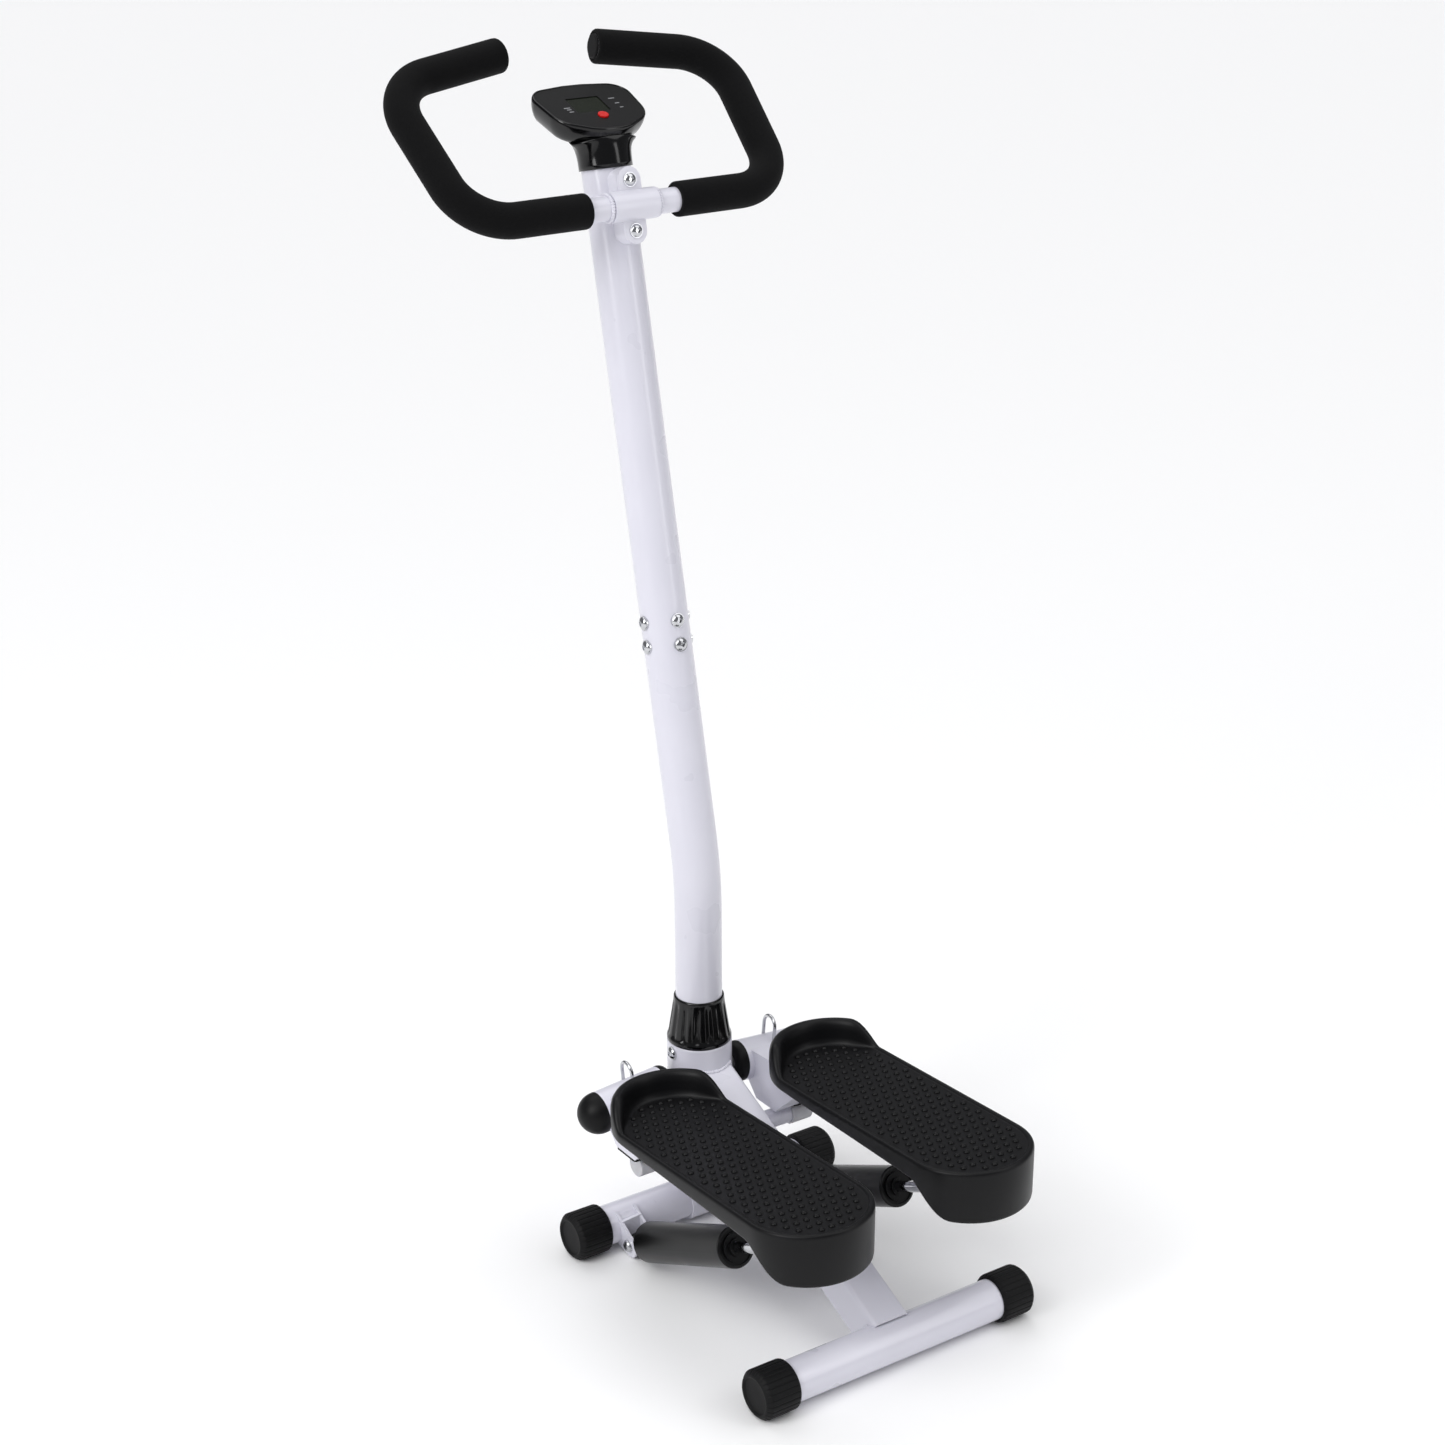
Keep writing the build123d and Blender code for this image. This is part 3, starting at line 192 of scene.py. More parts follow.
# ---- Bright hardware: rods, pins, axles, eyes, spigot ------------------------------------------
# Zinc-plated steel with a soft grey shine and faint turning marks, and hard chrome on the rods.
turning_pitch = 0.0006
turning_height = 0.00003


def zinc_plate(tree):
    place, blotch, tone = clouded(tree, 160.0, 3.0, "a9aaae", "cfd0d3")
    gloss = add(tree, "ShaderNodeMapRange", {"Value": blotch, "To Min": 0.2, "To Max": 0.38})
    marks = add(tree, "ShaderNodeTexNoise", {"Vector": place, "Scale": 1 / turning_pitch, "Detail": 0.0})
    relief = add(tree, "ShaderNodeBump",
                 {"Height": marks.outputs["Fac"], "Distance": turning_height, "Strength": 0.3})
    return {"Base Color": tone, "Metallic": 1.0, "Roughness": gloss.outputs[0], "Normal": relief.outputs[0]}


def hard_chrome(tree):
    place = add(tree, "ShaderNodeTexCoord").outputs["Object"]
    haze = add(tree, "ShaderNodeTexNoise", {"Vector": place, "Scale": 90.0, "Detail": 2.0})
    gloss = add(tree, "ShaderNodeMapRange", {"Value": haze.outputs["Fac"], "To Min": 0.06, "To Max": 0.14})
    return {"Base Color": linear("c4c5c8"), "Metallic": 1.0, "Roughness": gloss.outputs[0]}


zinc = finish_material("zinc_plated_steel", zinc_plate)
chrome = finish_material("hard_chrome", hard_chrome)
coat(["pivot_axles", "axle_nuts", "rocker_bolt", "cylinder_pins", "rod_pin_left", "rod_pin_right",
      "pedal_screws_left", "pedal_screws_right", "column_spigot", "button_cell"], zinc)
coat(["piston_rod_left", "piston_rod_right", "band_eye_left", "band_eye_right"], chrome)

# ---- Bushes and glides -------------------------------------------------------------------------
# Nylon, turned or moulded, left in its own milky grey. It is waxy and lets a little light in.


def nylon(tree):
    tone = clouded(tree, 120.0, 2.0, "b9b9bd", "cdcdd1")[2]
    return {"Base Color": tone, "Roughness": 0.45, "Subsurface Weight": 0.05, "Subsurface Scale": 0.002}


milky_nylon = finish_material("natural_nylon", nylon)
coat(["rocker_glides", "sleeve_bushes_left", "sleeve_bushes_right"], milky_nylon)

# ---- Moulded black plastic: domed caps, glands, console cover ----------------------------------
# Polypropylene moulded against a fine spark-eroded tool, which leaves a 0.5 mm grain and a satin
# shine that is a little uneven.
grain_width = 0.0005
grain_height = 0.00006


def satin_moulding(tree):
    place, clouds, tone = clouded(tree, 30.0, 4.0, "0a0a0b", "101011")
    gloss = add(tree, "ShaderNodeMapRange", {"Value": clouds, "To Min": 0.36, "To Max": 0.48})
    grain = add(tree, "ShaderNodeTexVoronoi", {"Vector": place, "Scale": 1 / grain_width})
    relief = add(tree, "ShaderNodeBump",
                 {"Height": grain.outputs["Distance"], "Distance": grain_height, "Strength": 0.35})
    return {"Base Color": tone, "Roughness": gloss.outputs[0], "Normal": relief.outputs[0],
            "Specular IOR Level": 0.16}


satin_black = finish_material("grained_black_polypropylene", satin_moulding)
coat(["ball_cap_left", "ball_cap_right", "dome_cap_left", "dome_cap_right", "cylinder_gland_left",
      "cylinder_gland_right", "console_cover", "column_bush"], satin_black)

# ---- Hydraulic cylinders -----------------------------------------------------------------------
# Drawn steel bodies sprayed in black enamel: smooth, deep, with a long soft highlight.


def black_enamel(tree):
    place, clouds, tone = clouded(tree, 40.0, 3.0, "070708", "0c0c0d")
    gloss = add(tree, "ShaderNodeMapRange", {"Value": clouds, "To Min": 0.26, "To Max": 0.36})
    return {"Base Color": tone, "Roughness": gloss.outputs[0], "Specular IOR Level": 0.26}


enamel = finish_material("black_enamel_on_steel", black_enamel)
coat(["cylinder_left", "cylinder_right"], enamel)

# ---- Foot caps ---------------------------------------------------------------------------------
# Four thick soft-PVC caps pushed over the ends of the crossbars. Broad ribs run round each one,
# the open end is stepped, and the closed end has a shallow round recess.
rib_count = 26
rib_points = 10            # points along the edge of one rib
rib_shoulder = 0.16        # share of a rib's pitch over which it climbs
cap_radius = 0.026
cap_length = 0.040
cap_bore = 0.02165
groove_depth = 0.0013
floor_flat = 0.0004        # how far the cap is squashed on the floor
pvc_grain = 1 / 1400
pvc_grain_height = 0.00008


def soft_pvc(tree):
    place, _, tone = clouded(tree, 60.0, 5.0, "0a0a0b", "121213", Roughness=0.6)
    grain = add(tree, "ShaderNodeTexNoise", {"Vector": place, "Scale": 1 / pvc_grain, "Detail": 1.0})
    relief = add(tree, "ShaderNodeBump",
                 {"Height": grain.outputs["Fac"], "Distance": pvc_grain_height, "Strength": 0.4})
    return {"Base Color": tone, "Roughness": 0.58, "Normal": relief.outputs[0], "Specular IOR Level": 0.18}


black_pvc = finish_material("soft_black_pvc", soft_pvc)
coat(["glide_pad_left", "glide_pad_right", "grip_plugs"], black_pvc)


def rib_height(angle):
    """0 in a groove and 1 on a rib, with rounded shoulders."""
    phase = (angle * rib_count / (2 * pi)) % 1
    edge = min(phase, 1 - phase) / rib_shoulder
    return min(1, edge) ** 0.5


def ring_faces(rings, steps, joined=False):
    """Quads between rings in a row; the last ring joins the first, or both ends are closed flat."""
    faces = []
    for ring in range(rings if joined else rings - 1):
        low, high = ring * steps, (ring + 1) % rings * steps
        for i in range(steps):
            j = (i + 1) % steps
            faces.append((low + i, low + j, high + j, high + i))
    if not joined:
        faces.append(tuple(range(steps)))
        faces.append(tuple((rings - 1) * steps + i for i in range(steps)))
    return faces


def cap_mesh(side, y):
    """Rings from the open end's lip, along the ribs, over the rim and into the end's recess."""
    outer_x = max(abs(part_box("foot_caps")[0].x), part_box("foot_caps")[1].x)
    # distance from the outer face, radius, how much of the rib pattern shows
    profile = [
        (cap_length - 0.004, cap_bore, 0), (cap_length, cap_bore, 0),
        (cap_length, cap_radius - 0.0026, 0), (cap_length - 0.0006, cap_radius - 0.0020, 0.2),
        (cap_length - 0.0014, cap_radius - 0.0008, 0.8), (cap_length - 0.0030, cap_radius - 0.0001, 1),
        (cap_length - 0.012, cap_radius, 1), (0.016, cap_radius, 1), (0.0062, cap_radius, 1),
        (0.0048, cap_radius - 0.0002, 0.9), (0.0036, cap_radius - 0.0010, 0.8),
        (0.0010, cap_radius - 0.0034, 0.4), (0.0003, cap_radius - 0.0042, 0.1),
        (0, cap_radius - 0.0052, 0), (0, cap_radius - 0.0064, 0), (0.0004, cap_radius - 0.0071, 0),
        (0.0016, cap_radius - 0.0076, 0), (0.0018, cap_radius - 0.0084, 0), (0.0018, cap_radius * 0.3, 0),
    ]
    steps = rib_count * rib_points
    points = []
    for back, radius, ribs in profile:
        for i in range(steps):
            angle = 2 * pi * i / steps
            r = radius - groove_depth * ribs * (1 - rib_height(angle + pi / 2 + pi / rib_count))
            z = max(r * sin(angle) + cap_radius - floor_flat, 0)
            points.append((side * (outer_x - back), y + r * cos(angle), z))
    return points, ring_faces(len(profile), steps)


rear_low, rear_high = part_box("rear_crossbar")
rear_y = (rear_low.y + rear_high.y) / 2
cap_points, cap_faces = [], []
for side in (-1, 1):
    for y in (column_y, rear_y):
        points, faces = cap_mesh(side, y)
        cap_faces += [tuple(i + len(cap_points) for i in face) for face in faces]
        cap_points += points
foot_caps = solid_piece("ribbed_foot_caps", cap_points, cap_faces)
foot_caps.data.materials.append(black_pvc)
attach(foot_caps, "base")
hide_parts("foot_caps")

# ---- Column cuff -------------------------------------------------------------------------------
# A tapered ABS cuff slides down the column and hides the collar's mouth. It is polished black,
# with fourteen rounded flutes that fade out above a plain lower band.
cuff_low, cuff_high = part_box("column_cuff")
cuff_flutes = 14
cuff_steps = cuff_flutes * 14
column_bore = 0.0252       # inner radius of what slides over the column


def polished_abs(tree):
    place, flow, tone = clouded(tree, 22.0, 2.0, "040405", "080809")
    gloss = add(tree, "ShaderNodeMapRange", {"Value": flow, "To Min": 0.1, "To Max": 0.2})
    return {"Base Color": tone, "Roughness": gloss.outputs[0], "Specular IOR Level": 0.4}


gloss_black = finish_material("polished_black_abs", polished_abs)
cuff_radius = (cuff_high.x - cuff_low.x) / 2
cuff_top = 0.027
cuff_height = cuff_high.z - cuff_low.z
# height share, radius, flute depth
cuff_profile = [
    (0, column_bore, 0), (0, cuff_radius - 0.0008, 0), (0.012, cuff_radius, 0), (0.07, cuff_radius, 0),
    (0.10, cuff_radius - 0.0004, 0), (0.13, cuff_radius - 0.0012, 0.0006),
    (0.18, cuff_radius - 0.0019, 0.0013), (0.40, cuff_radius - 0.0036, 0.0016),
    (0.60, cuff_radius - 0.0052, 0.0015), (0.78, cuff_radius - 0.0066, 0.0012),
    (0.86, cuff_radius - 0.0072, 0.0006), (0.91, cuff_radius - 0.0075, 0),
    (0.97, cuff_top, 0), (0.99, cuff_top - 0.0005, 0), (1.0, cuff_top - 0.0012, 0), (1.0, column_bore, 0),
]
cuff_points = []
for share, radius, depth in cuff_profile:
    for i in range(cuff_steps):
        angle = 2 * pi * i / cuff_steps
        wave = max(0.0, cos(angle * cuff_flutes)) ** 0.7
        r = radius - depth * wave
        cuff_points.append((r * cos(angle), column_y + r * sin(angle), cuff_low.z + share * cuff_height))
cuff = solid_piece("fluted_cuff", cuff_points, ring_faces(len(cuff_profile), cuff_steps, joined=True))
cuff.data.materials.append(gloss_black)
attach(cuff, "base")
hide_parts("column_cuff")

# ---- Foam grips --------------------------------------------------------------------------------
# Closed-cell NBR foam sleeves, pushed over each loop from the clamp to the open end. The skin is
# dead matt with fine pores, and the cut ends are slightly rounded.
hinge = Vector(next(j for j in frame["joints"] if j["name"] == "handlebar_tilt")["pos_m"])
loop_lean = radians(40.5)
loop_forward = Vector((0, cos(loop_lean), sin(loop_lean)))
loop_corners = [(0.052, 0), (0.181, 0), (0.1964, 0.177), (0.056, 0.204)]
loop_bend = 0.055
foam_radius = 0.01775
bore_radius = 0.0126
foam_steps = 48
arc_steps = 20
pore_width = 1 / 1100
pore_depth = 0.00025


def bent_line(corners, bend):
    """Points along straight runs joined by round bends, as a bender makes them."""
    path = [Vector(corners[0])]
    for before, corner, after in zip(corners, corners[1:], corners[2:]):
        before, corner, after = Vector(before), Vector(corner), Vector(after)
        a, b = (before - corner).normalized(), (after - corner).normalized()
        half = a.angle(b) / 2
        centre = corner + (a + b).normalized() * bend / sin(half)
        start, stop = corner + a * bend / tan(half), corner + b * bend / tan(half)
        first = atan2((start - centre).y, (start - centre).x)
        turn = (atan2((stop - centre).y, (stop - centre).x) - first + pi) % (2 * pi) - pi
        for i in range(arc_steps + 1):
            angle = first + turn * i / arc_steps
            path.append(centre + bend * Vector((cos(angle), sin(angle))))
    path.append(Vector(corners[-1]))
    return path


def foam(tree):
    place, lumps, tone = clouded(tree, 260.0, 4.0, "070708", "0d0d0e")
    pores = add(tree, "ShaderNodeTexVoronoi", {"Vector": place, "Scale": 1 / pore_width, "Randomness": 1.0})
    height = add(tree, "ShaderNodeMath", {0: pores.outputs["Distance"], 1: lumps}, operation="ADD")
    relief = add(tree, "ShaderNodeBump",
                 {"Height": height.outputs[0], "Distance": pore_depth, "Strength": 0.5})
    return {"Base Color": tone, "Roughness": 0.88, "Normal": relief.outputs[0],
            "Specular IOR Level": 0.12, "Sheen Weight": 0.03, "Sheen Roughness": 0.5}


foam_skin = finish_material("closed_cell_black_foam", foam)
line = bent_line(loop_corners, loop_bend)
start_run = (line[1] - line[0]).normalized()
end_run = (line[-1] - line[-2]).normalized()
# stations along the grip: distance in from either cut end, radius
end_shape = [(0, bore_radius), (0, foam_radius - 0.0022), (0.0005, foam_radius - 0.0010),
             (0.0016, foam_radius - 0.0002), (0.0032, foam_radius)]
stations = [(line[0] + start_run * d, start_run, r) for d, r in end_shape]
for i in range(1, len(line) - 1):
    stations.append((line[i], (line[i + 1] - line[i - 1]).normalized(), foam_radius))
stations += [(line[-1] - end_run * d, end_run, r) for d, r in reversed(end_shape)]
stations += [(place, run, bore_radius) for place, run, r in reversed(stations) if r == foam_radius]
flat_up = Vector((0, -sin(loop_lean), cos(loop_lean)))
for side, mirror in (("left", -1), ("right", 1)):
    points = []
    for place, run, radius in stations:
        centre = hinge + Vector((mirror * place.x, 0, 0)) + loop_forward * place.y
        along = Vector((mirror * run.x, 0, 0)) + loop_forward * run.y
        across = along.cross(flat_up)
        for i in range(foam_steps):
            angle = 2 * pi * i / foam_steps
            points.append(centre + radius * (cos(angle) * across + sin(angle) * flat_up))
    grip = solid_piece(f"foam_sleeve_{side}", points, ring_faces(len(stations), foam_steps, joined=True))
    grip.data.materials.append(foam_skin)
    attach(grip, "handlebar")
    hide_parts(f"foam_grip_{side}")

# ---- Pedals ------------------------------------------------------------------------------------
# Each pedal is one glass-filled polypropylene moulding, bolted to its arm from below. The tread is
# sunk inside a thin lip, a thick rolled rim makes the toe cup, and the skirt is deepest at the heel.
pedal_half = 0.067         # half the width, and the radius of the round ends
pedal_length = 0.363
pedal_toe, pedal_heel = 0.038, 0.401       # distances behind the column's axis
tread_pitch = radians(3.5)
tread_point = (0.180, 0.204)               # a point of the tread: distance behind the column, height
skirt_side, skirt_heel = 0.1885, 0.161     # heights of the skirt's lower edge
tread_depth = 0.0006       # how far the tread lies under the lip
outline_steps = 200
straight = pedal_length - 2 * pedal_half
pedal_mid_y = column_y - (pedal_heel + pedal_toe) / 2


def tread_height(back):
    """Height of the tread at a distance behind the column."""
    return tread_point[1] + (back - tread_point[0]) * tan(tread_pitch)


def ease(low, high, value):
    """0 below low, 1 above high, and a smooth S between them."""
    share = min(1, max(0, (value - low) / (high - low)))
    return share * share * (3 - 2 * share)


def skirt_height(back, across):
    """Lower edge of the skirt: shallow along the sides, deep at the heel, clear of the arm at the toe."""
    side_edge = skirt_side + 0.0035 * ease(0.09, 0.33, back)
    edge = side_edge + (skirt_heel - side_edge) * ease(0.325, 0.375, back)
    over_arm = ease(0.105, 0.070, back) if back > 0.07 else 1
    over_arm *= 1 - ease(0.034, 0.040, abs(across))
    return edge + (tread_height(back) - 0.0036 - edge) * over_arm


def cup_share(back):
    """How much of the toe cup's rim stands at a distance behind the column."""
    return (1 - ease(0.066, 0.102, back)) ** 0.7


def pedal_ring(inset, height):
    """A closed ring: the stadium outline moved in by inset(cup), at height(back, across, cup)."""
    ring = []
    length = 2 * pi * pedal_half + 2 * straight
    for i in range(outline_steps):
        walk = (i + 0.5) / outline_steps * length
        if walk < straight:
            centre, turn = (0, straight / 2 - walk), 0
        elif walk < straight + pi * pedal_half:
            centre, turn = (0, -straight / 2), -(walk - straight) / pedal_half
        elif walk < 2 * straight + pi * pedal_half:
            centre, turn = (0, -straight / 2 + walk - straight - pi * pedal_half), pi
        else:
            centre, turn = (0, straight / 2), pi - (walk - 2 * straight - pi * pedal_half) / pedal_half
        edge_back = column_y - (pedal_mid_y + centre[1] + pedal_half * sin(turn))
        cup = cup_share(edge_back)
        r = pedal_half - inset(cup)
        x, y = centre[0] + r * cos(turn), pedal_mid_y + centre[1] + r * sin(turn)
        back = column_y - y
        ring.append((x, y, height(edge_back, back, x, cup)))
    return ring


def between(plain, cup_value):
    """A value that goes from the plain edge's to the toe cup's."""
    return lambda cup: plain + (cup_value - plain) * cup


def above_tread(plain, cup_value):
    """Height over the tread, plain along the sides and different in the toe cup."""
    return lambda edge_back, back, x, cup: tread_height(back) + plain + (cup_value - plain) * cup


def above_skirt(rise):
    """Height over the skirt's lower edge."""
    return lambda edge_back, back, x, cup: skirt_height(edge_back, x) + rise


# inside top of the skirt, round its lower edge, then up the outside
pedal_rings = [pedal_ring(between(0.0045, 0.0045), above_tread(-0.0035, -0.0035))]
for inset, rise in ((0.0040, 0), (0.0015, 0), (0.0008, 0.0008), (0.0004, 0.003)):
    pedal_rings.append(pedal_ring(between(inset, inset), above_skirt(rise)))
# over the lip or the toe cup's rim and down to the tread:
# inset at the lip and at the cup, height over the tread at the lip and at the cup
for lip_inset, cup_inset, lip_rise, cup_rise in (
    (0.0, 0.0, -0.0035, 0.006), (0.0002, 0.0002, -0.0018, 0.0175), (0.0007, 0.0012, -0.0004, 0.0225),
    (0.0016, 0.0034, 0.0006, 0.0262), (0.0028, 0.0062, 0.0011, 0.0275), (0.0040, 0.0092, 0.0012, 0.0272),
    (0.0050, 0.0118, 0.0010, 0.0252), (0.0056, 0.0136, 0.0006, 0.0218), (0.0060, 0.0148, 0.0001, 0.0160),
    (0.0064, 0.0158, -0.0003, 0.0080), (0.0069, 0.0170, -0.0005, 0.0025),
    (0.0076, 0.0190, -tread_depth, 0.0004), (0.0090, 0.0215, -tread_depth, -0.0004),
    (0.0120, 0.0260, -tread_depth, -tread_depth),
):
    pedal_rings.append(pedal_ring(between(lip_inset, cup_inset), above_tread(lip_rise, cup_rise)))
pedal_grain = 0.0008
pedal_grain_height = 0.00008


def glass_filled(tree):
    place, clouds, tone = clouded(tree, 18.0, 5.0, "09090a", "0f0f11")
    gloss = add(tree, "ShaderNodeMapRange", {"Value": clouds, "To Min": 0.34, "To Max": 0.46})
    grain = add(tree, "ShaderNodeTexVoronoi", {"Vector": place, "Scale": 1 / pedal_grain})
    relief = add(tree, "ShaderNodeBump",
                 {"Height": grain.outputs["Distance"], "Distance": pedal_grain_height, "Strength": 0.3})
    return {"Base Color": tone, "Roughness": gloss.outputs[0], "Normal": relief.outputs[0],
            "Specular IOR Level": 0.2}


pedal_black = finish_material("glass_filled_black_polypropylene", glass_filled)

# Studs on the tread: staggered rows of low domes, moulded with the pedal.
stud_radius = 0.0034
stud_rise = 0.0024
stud_pitch = 0.0118
row_pitch = 0.0122
stud_columns, stud_rows = 13, 29
studs_inside = 0.0545      # half width of the field of studs
stud_shift = 0.006         # towards the heel from the pedal's middle


def node_tree(name, sizes):
    """A Geometry Nodes tree from a mesh, a length for each named size and a material to a mesh."""
    tree = bpy.data.node_groups.new(name, "GeometryNodeTree")
    tree.interface.new_socket("Geometry", in_out="INPUT", socket_type="NodeSocketGeometry")
    tree.interface.new_socket("Geometry", in_out="OUTPUT", socket_type="NodeSocketGeometry")
    for size in sizes:
        tree.interface.new_socket(size, in_out="INPUT", socket_type="NodeSocketFloat")
    tree.interface.new_socket("Material", in_out="INPUT", socket_type="NodeSocketMaterial")
    return tree, add(tree, "NodeGroupInput").outputs


def end_tree(tree, instances, material):
    """Make the instances real, give them the material, and end the tree."""
    real = add(tree, "GeometryNodeRealizeInstances", {0: instances})
    painted = add(tree, "GeometryNodeSetMaterial", {"Geometry": real.outputs[0], "Material": material})
    add(tree, "NodeGroupOutput", {0: painted.outputs[0]})


def flat_ball(tree, radius, rise, segments, rings):
    """A ball of this radius, flattened to this height."""
    ball = add(tree, "GeometryNodeMeshUVSphere", {"Segments": segments, "Rings": rings, "Radius": radius})
    flat = add(tree, "ShaderNodeMath", {0: rise, 1: radius}, operation="DIVIDE")
    squeeze = add(tree, "ShaderNodeCombineXYZ", {"X": 1.0, "Y": 1.0, "Z": flat.outputs[0]})
    return add(tree, "GeometryNodeTransform",
               {"Geometry": ball.outputs["Mesh"], "Scale": squeeze.outputs[0]}).outputs[0]


def stud_tree():
    """Points in staggered rows on a flat tread, each with a flattened dome."""
    tree, given = node_tree("tread_studs", (
        "Pitch", "Row Pitch", "Stud Radius", "Stud Rise", "Half Width", "Half Straight"))
    span_x = add(tree, "ShaderNodeMath", {0: given["Pitch"], 1: stud_columns - 1.0}, operation="MULTIPLY")
    span_y = add(tree, "ShaderNodeMath", {0: given["Row Pitch"], 1: stud_rows - 1.0}, operation="MULTIPLY")
    grid = add(tree, "GeometryNodeMeshGrid", {
        "Size X": span_x.outputs[0], "Size Y": span_y.outputs[0],
        "Vertices X": stud_columns, "Vertices Y": stud_rows})
    position = add(tree, "GeometryNodeInputPosition").outputs[0]
    parts = add(tree, "ShaderNodeSeparateXYZ", {0: position})
    row = add(tree, "ShaderNodeMath", {0: parts.outputs["Y"], 1: given["Row Pitch"]}, operation="DIVIDE")
    whole = add(tree, "ShaderNodeMath", {0: row.outputs[0]}, operation="ROUND")
    odd = add(tree, "ShaderNodeMath", {0: whole.outputs[0], 1: 2.0}, operation="FLOORED_MODULO")
    half = add(tree, "ShaderNodeMath", {0: given["Pitch"], 1: 0.5}, operation="MULTIPLY")
    shift = add(tree, "ShaderNodeMath", {0: odd.outputs[0], 1: half.outputs[0]}, operation="MULTIPLY")
    offset = add(tree, "ShaderNodeCombineXYZ", {"X": shift.outputs[0]})
    staggered = add(tree, "GeometryNodeSetPosition", {"Geometry": grid.outputs["Mesh"],
                                                      "Offset": offset.outputs[0]})
    # delete the points outside the stadium: sqrt(x^2 + max(|y| - half straight, 0)^2) > half width
    far_x = add(tree, "ShaderNodeMath", {0: parts.outputs["X"]}, operation="ABSOLUTE")
    far_y = add(tree, "ShaderNodeMath", {0: parts.outputs["Y"]}, operation="ABSOLUTE")
    past = add(tree, "ShaderNodeMath", {0: far_y.outputs[0], 1: given["Half Straight"]}, operation="SUBTRACT")
    beyond = add(tree, "ShaderNodeMath", {0: past.outputs[0], 1: 0.0}, operation="MAXIMUM")
    square_x = add(tree, "ShaderNodeMath", {0: far_x.outputs[0], 1: 2.0}, operation="POWER")
    square_y = add(tree, "ShaderNodeMath", {0: beyond.outputs[0], 1: 2.0}, operation="POWER")
    total = add(tree, "ShaderNodeMath", {0: square_x.outputs[0], 1: square_y.outputs[0]}, operation="ADD")
    away = add(tree, "ShaderNodeMath", {0: total.outputs[0]}, operation="SQRT")
    outside = add(tree, "ShaderNodeMath", {0: away.outputs[0], 1: given["Half Width"]},
                  operation="GREATER_THAN")
    kept = add(tree, "GeometryNodeDeleteGeometry", {"Geometry": staggered.outputs[0],
                                                    "Selection": outside.outputs[0]})
    dome = flat_ball(tree, given["Stud Radius"], given["Stud Rise"], 12, 8)
    rounded = add(tree, "GeometryNodeSetShadeSmooth", {"Geometry": dome})
    studs = add(tree, "GeometryNodeInstanceOnPoints",
                {"Points": kept.outputs[0], "Instance": rounded.outputs[0]})
    end_tree(tree, studs.outputs[0], given["Material"])
    return tree


def grow(name, seed_mesh, tree, values):
    """The plain mesh object that a Geometry Nodes tree makes from a mesh and these input values."""
    seed = bpy.data.objects.new(name, seed_mesh)
    bpy.context.collection.objects.link(seed)
    modifier = seed.modifiers.new("build", "NODES")
    modifier.node_group = tree
    for item in tree.interface.items_tree:
        if item.in_out == "INPUT" and item.name in values:
            modifier[item.identifier] = values[item.name]
    bpy.context.view_layer.update()
    mesh = bpy.data.meshes.new_from_object(seed.evaluated_get(bpy.context.evaluated_depsgraph_get()))
    seed.modifiers.clear()
    seed.data = mesh
    mesh.name = name
    return seed


stud_group = stud_tree()
middle_back = column_y - pedal_mid_y + stud_shift
for side, mirror in (("left", -1), ("right", 1)):
    low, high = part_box(f"pedal_{side}")
    pedal_x = (low.x + high.x) / 2
    points = [(pedal_x + mirror * x, y, z) for ring in pedal_rings for x, y, z in ring]
    pedal = solid_piece(f"moulded_pedal_{side}", points, ring_faces(len(pedal_rings), outline_steps))
    pedal.data.materials.append(pedal_black)
    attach(pedal, f"{side}_pedal")
    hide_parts(f"pedal_{side}")
    studs = grow(f"tread_studs_{side}", bpy.data.meshes.new("stud_seed"), stud_group, {
        "Pitch": stud_pitch, "Row Pitch": row_pitch, "Stud Radius": stud_radius, "Stud Rise": stud_rise,
        "Half Width": studs_inside, "Half Straight": straight / 2 - stud_shift, "Material": pedal_black})
    middle = (pedal_x, column_y - middle_back, tread_height(middle_back) - tread_depth)
    studs.data.transform(Matrix.Translation(middle) @ Matrix.Rotation(-tread_pitch, 4, "X"))
    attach(studs, f"{side}_pedal")

# ---- Console -----------------------------------------------------------------------------------
# A polished ABS tub, and a socket for the column that flares out under it. The grained cover
# carries a tinted window, one red key and a few plain printed marks.
press = Vector(next(j for j in frame["joints"] if j["name"] == "button_press")["axis"])
face_up = -press.normalized()
face_along = Vector((0, face_up.z, -face_up.y))
face_centre = Vector((0, column_y + 0.170, 1.181))
column_lean = radians(12.2)
column_bend = Vector((0, column_y, 0.409))
lean_up = Vector((0, sin(column_lean), cos(column_lean)))
neck_start = column_bend + lean_up * 0.732
neck_side = Vector((0, lean_up.z, -lean_up.y))
# the outline's corner circles: x (and -x), y, radius
round_spots = [(0.034, 0.027, 0.022), (0.022, 0.002, 0.032), (0.006, 0.004, 0.042), (0.010, 0.032, 0.020)]
shell_steps = 144
floor_slope = tan(radians(32.9))           # the tub's floor against a square cut of the column
neck_climb, neck_extra = 0.0268, 0.0052    # height of the socket, and how much more it has at the user


def shield_point(angle, inset):
    """Point of the console's rounded outline whose outward direction has this angle."""
    out = Vector((cos(angle), sin(angle)))
    x, y, radius = max(round_spots, key=lambda spot: spot[0] * abs(out.x) + spot[1] * out.y + spot[2])
    return Vector((x if out.x > 0 else -x, y)) + out * (radius - inset)


def on_face(flat, rise):
    """Place a point of the console's face plane, raised along its normal."""
    return face_centre + Vector((flat.x, 0, 0)) + face_along * flat.y + face_up * rise


def round_column(i):
    """Direction across the column, step i of a turn round it, and the angle of that step."""
    angle = 2 * pi * i / shell_steps
    return cos(angle) * Vector((1, 0, 0)) + sin(angle) * neck_side, angle


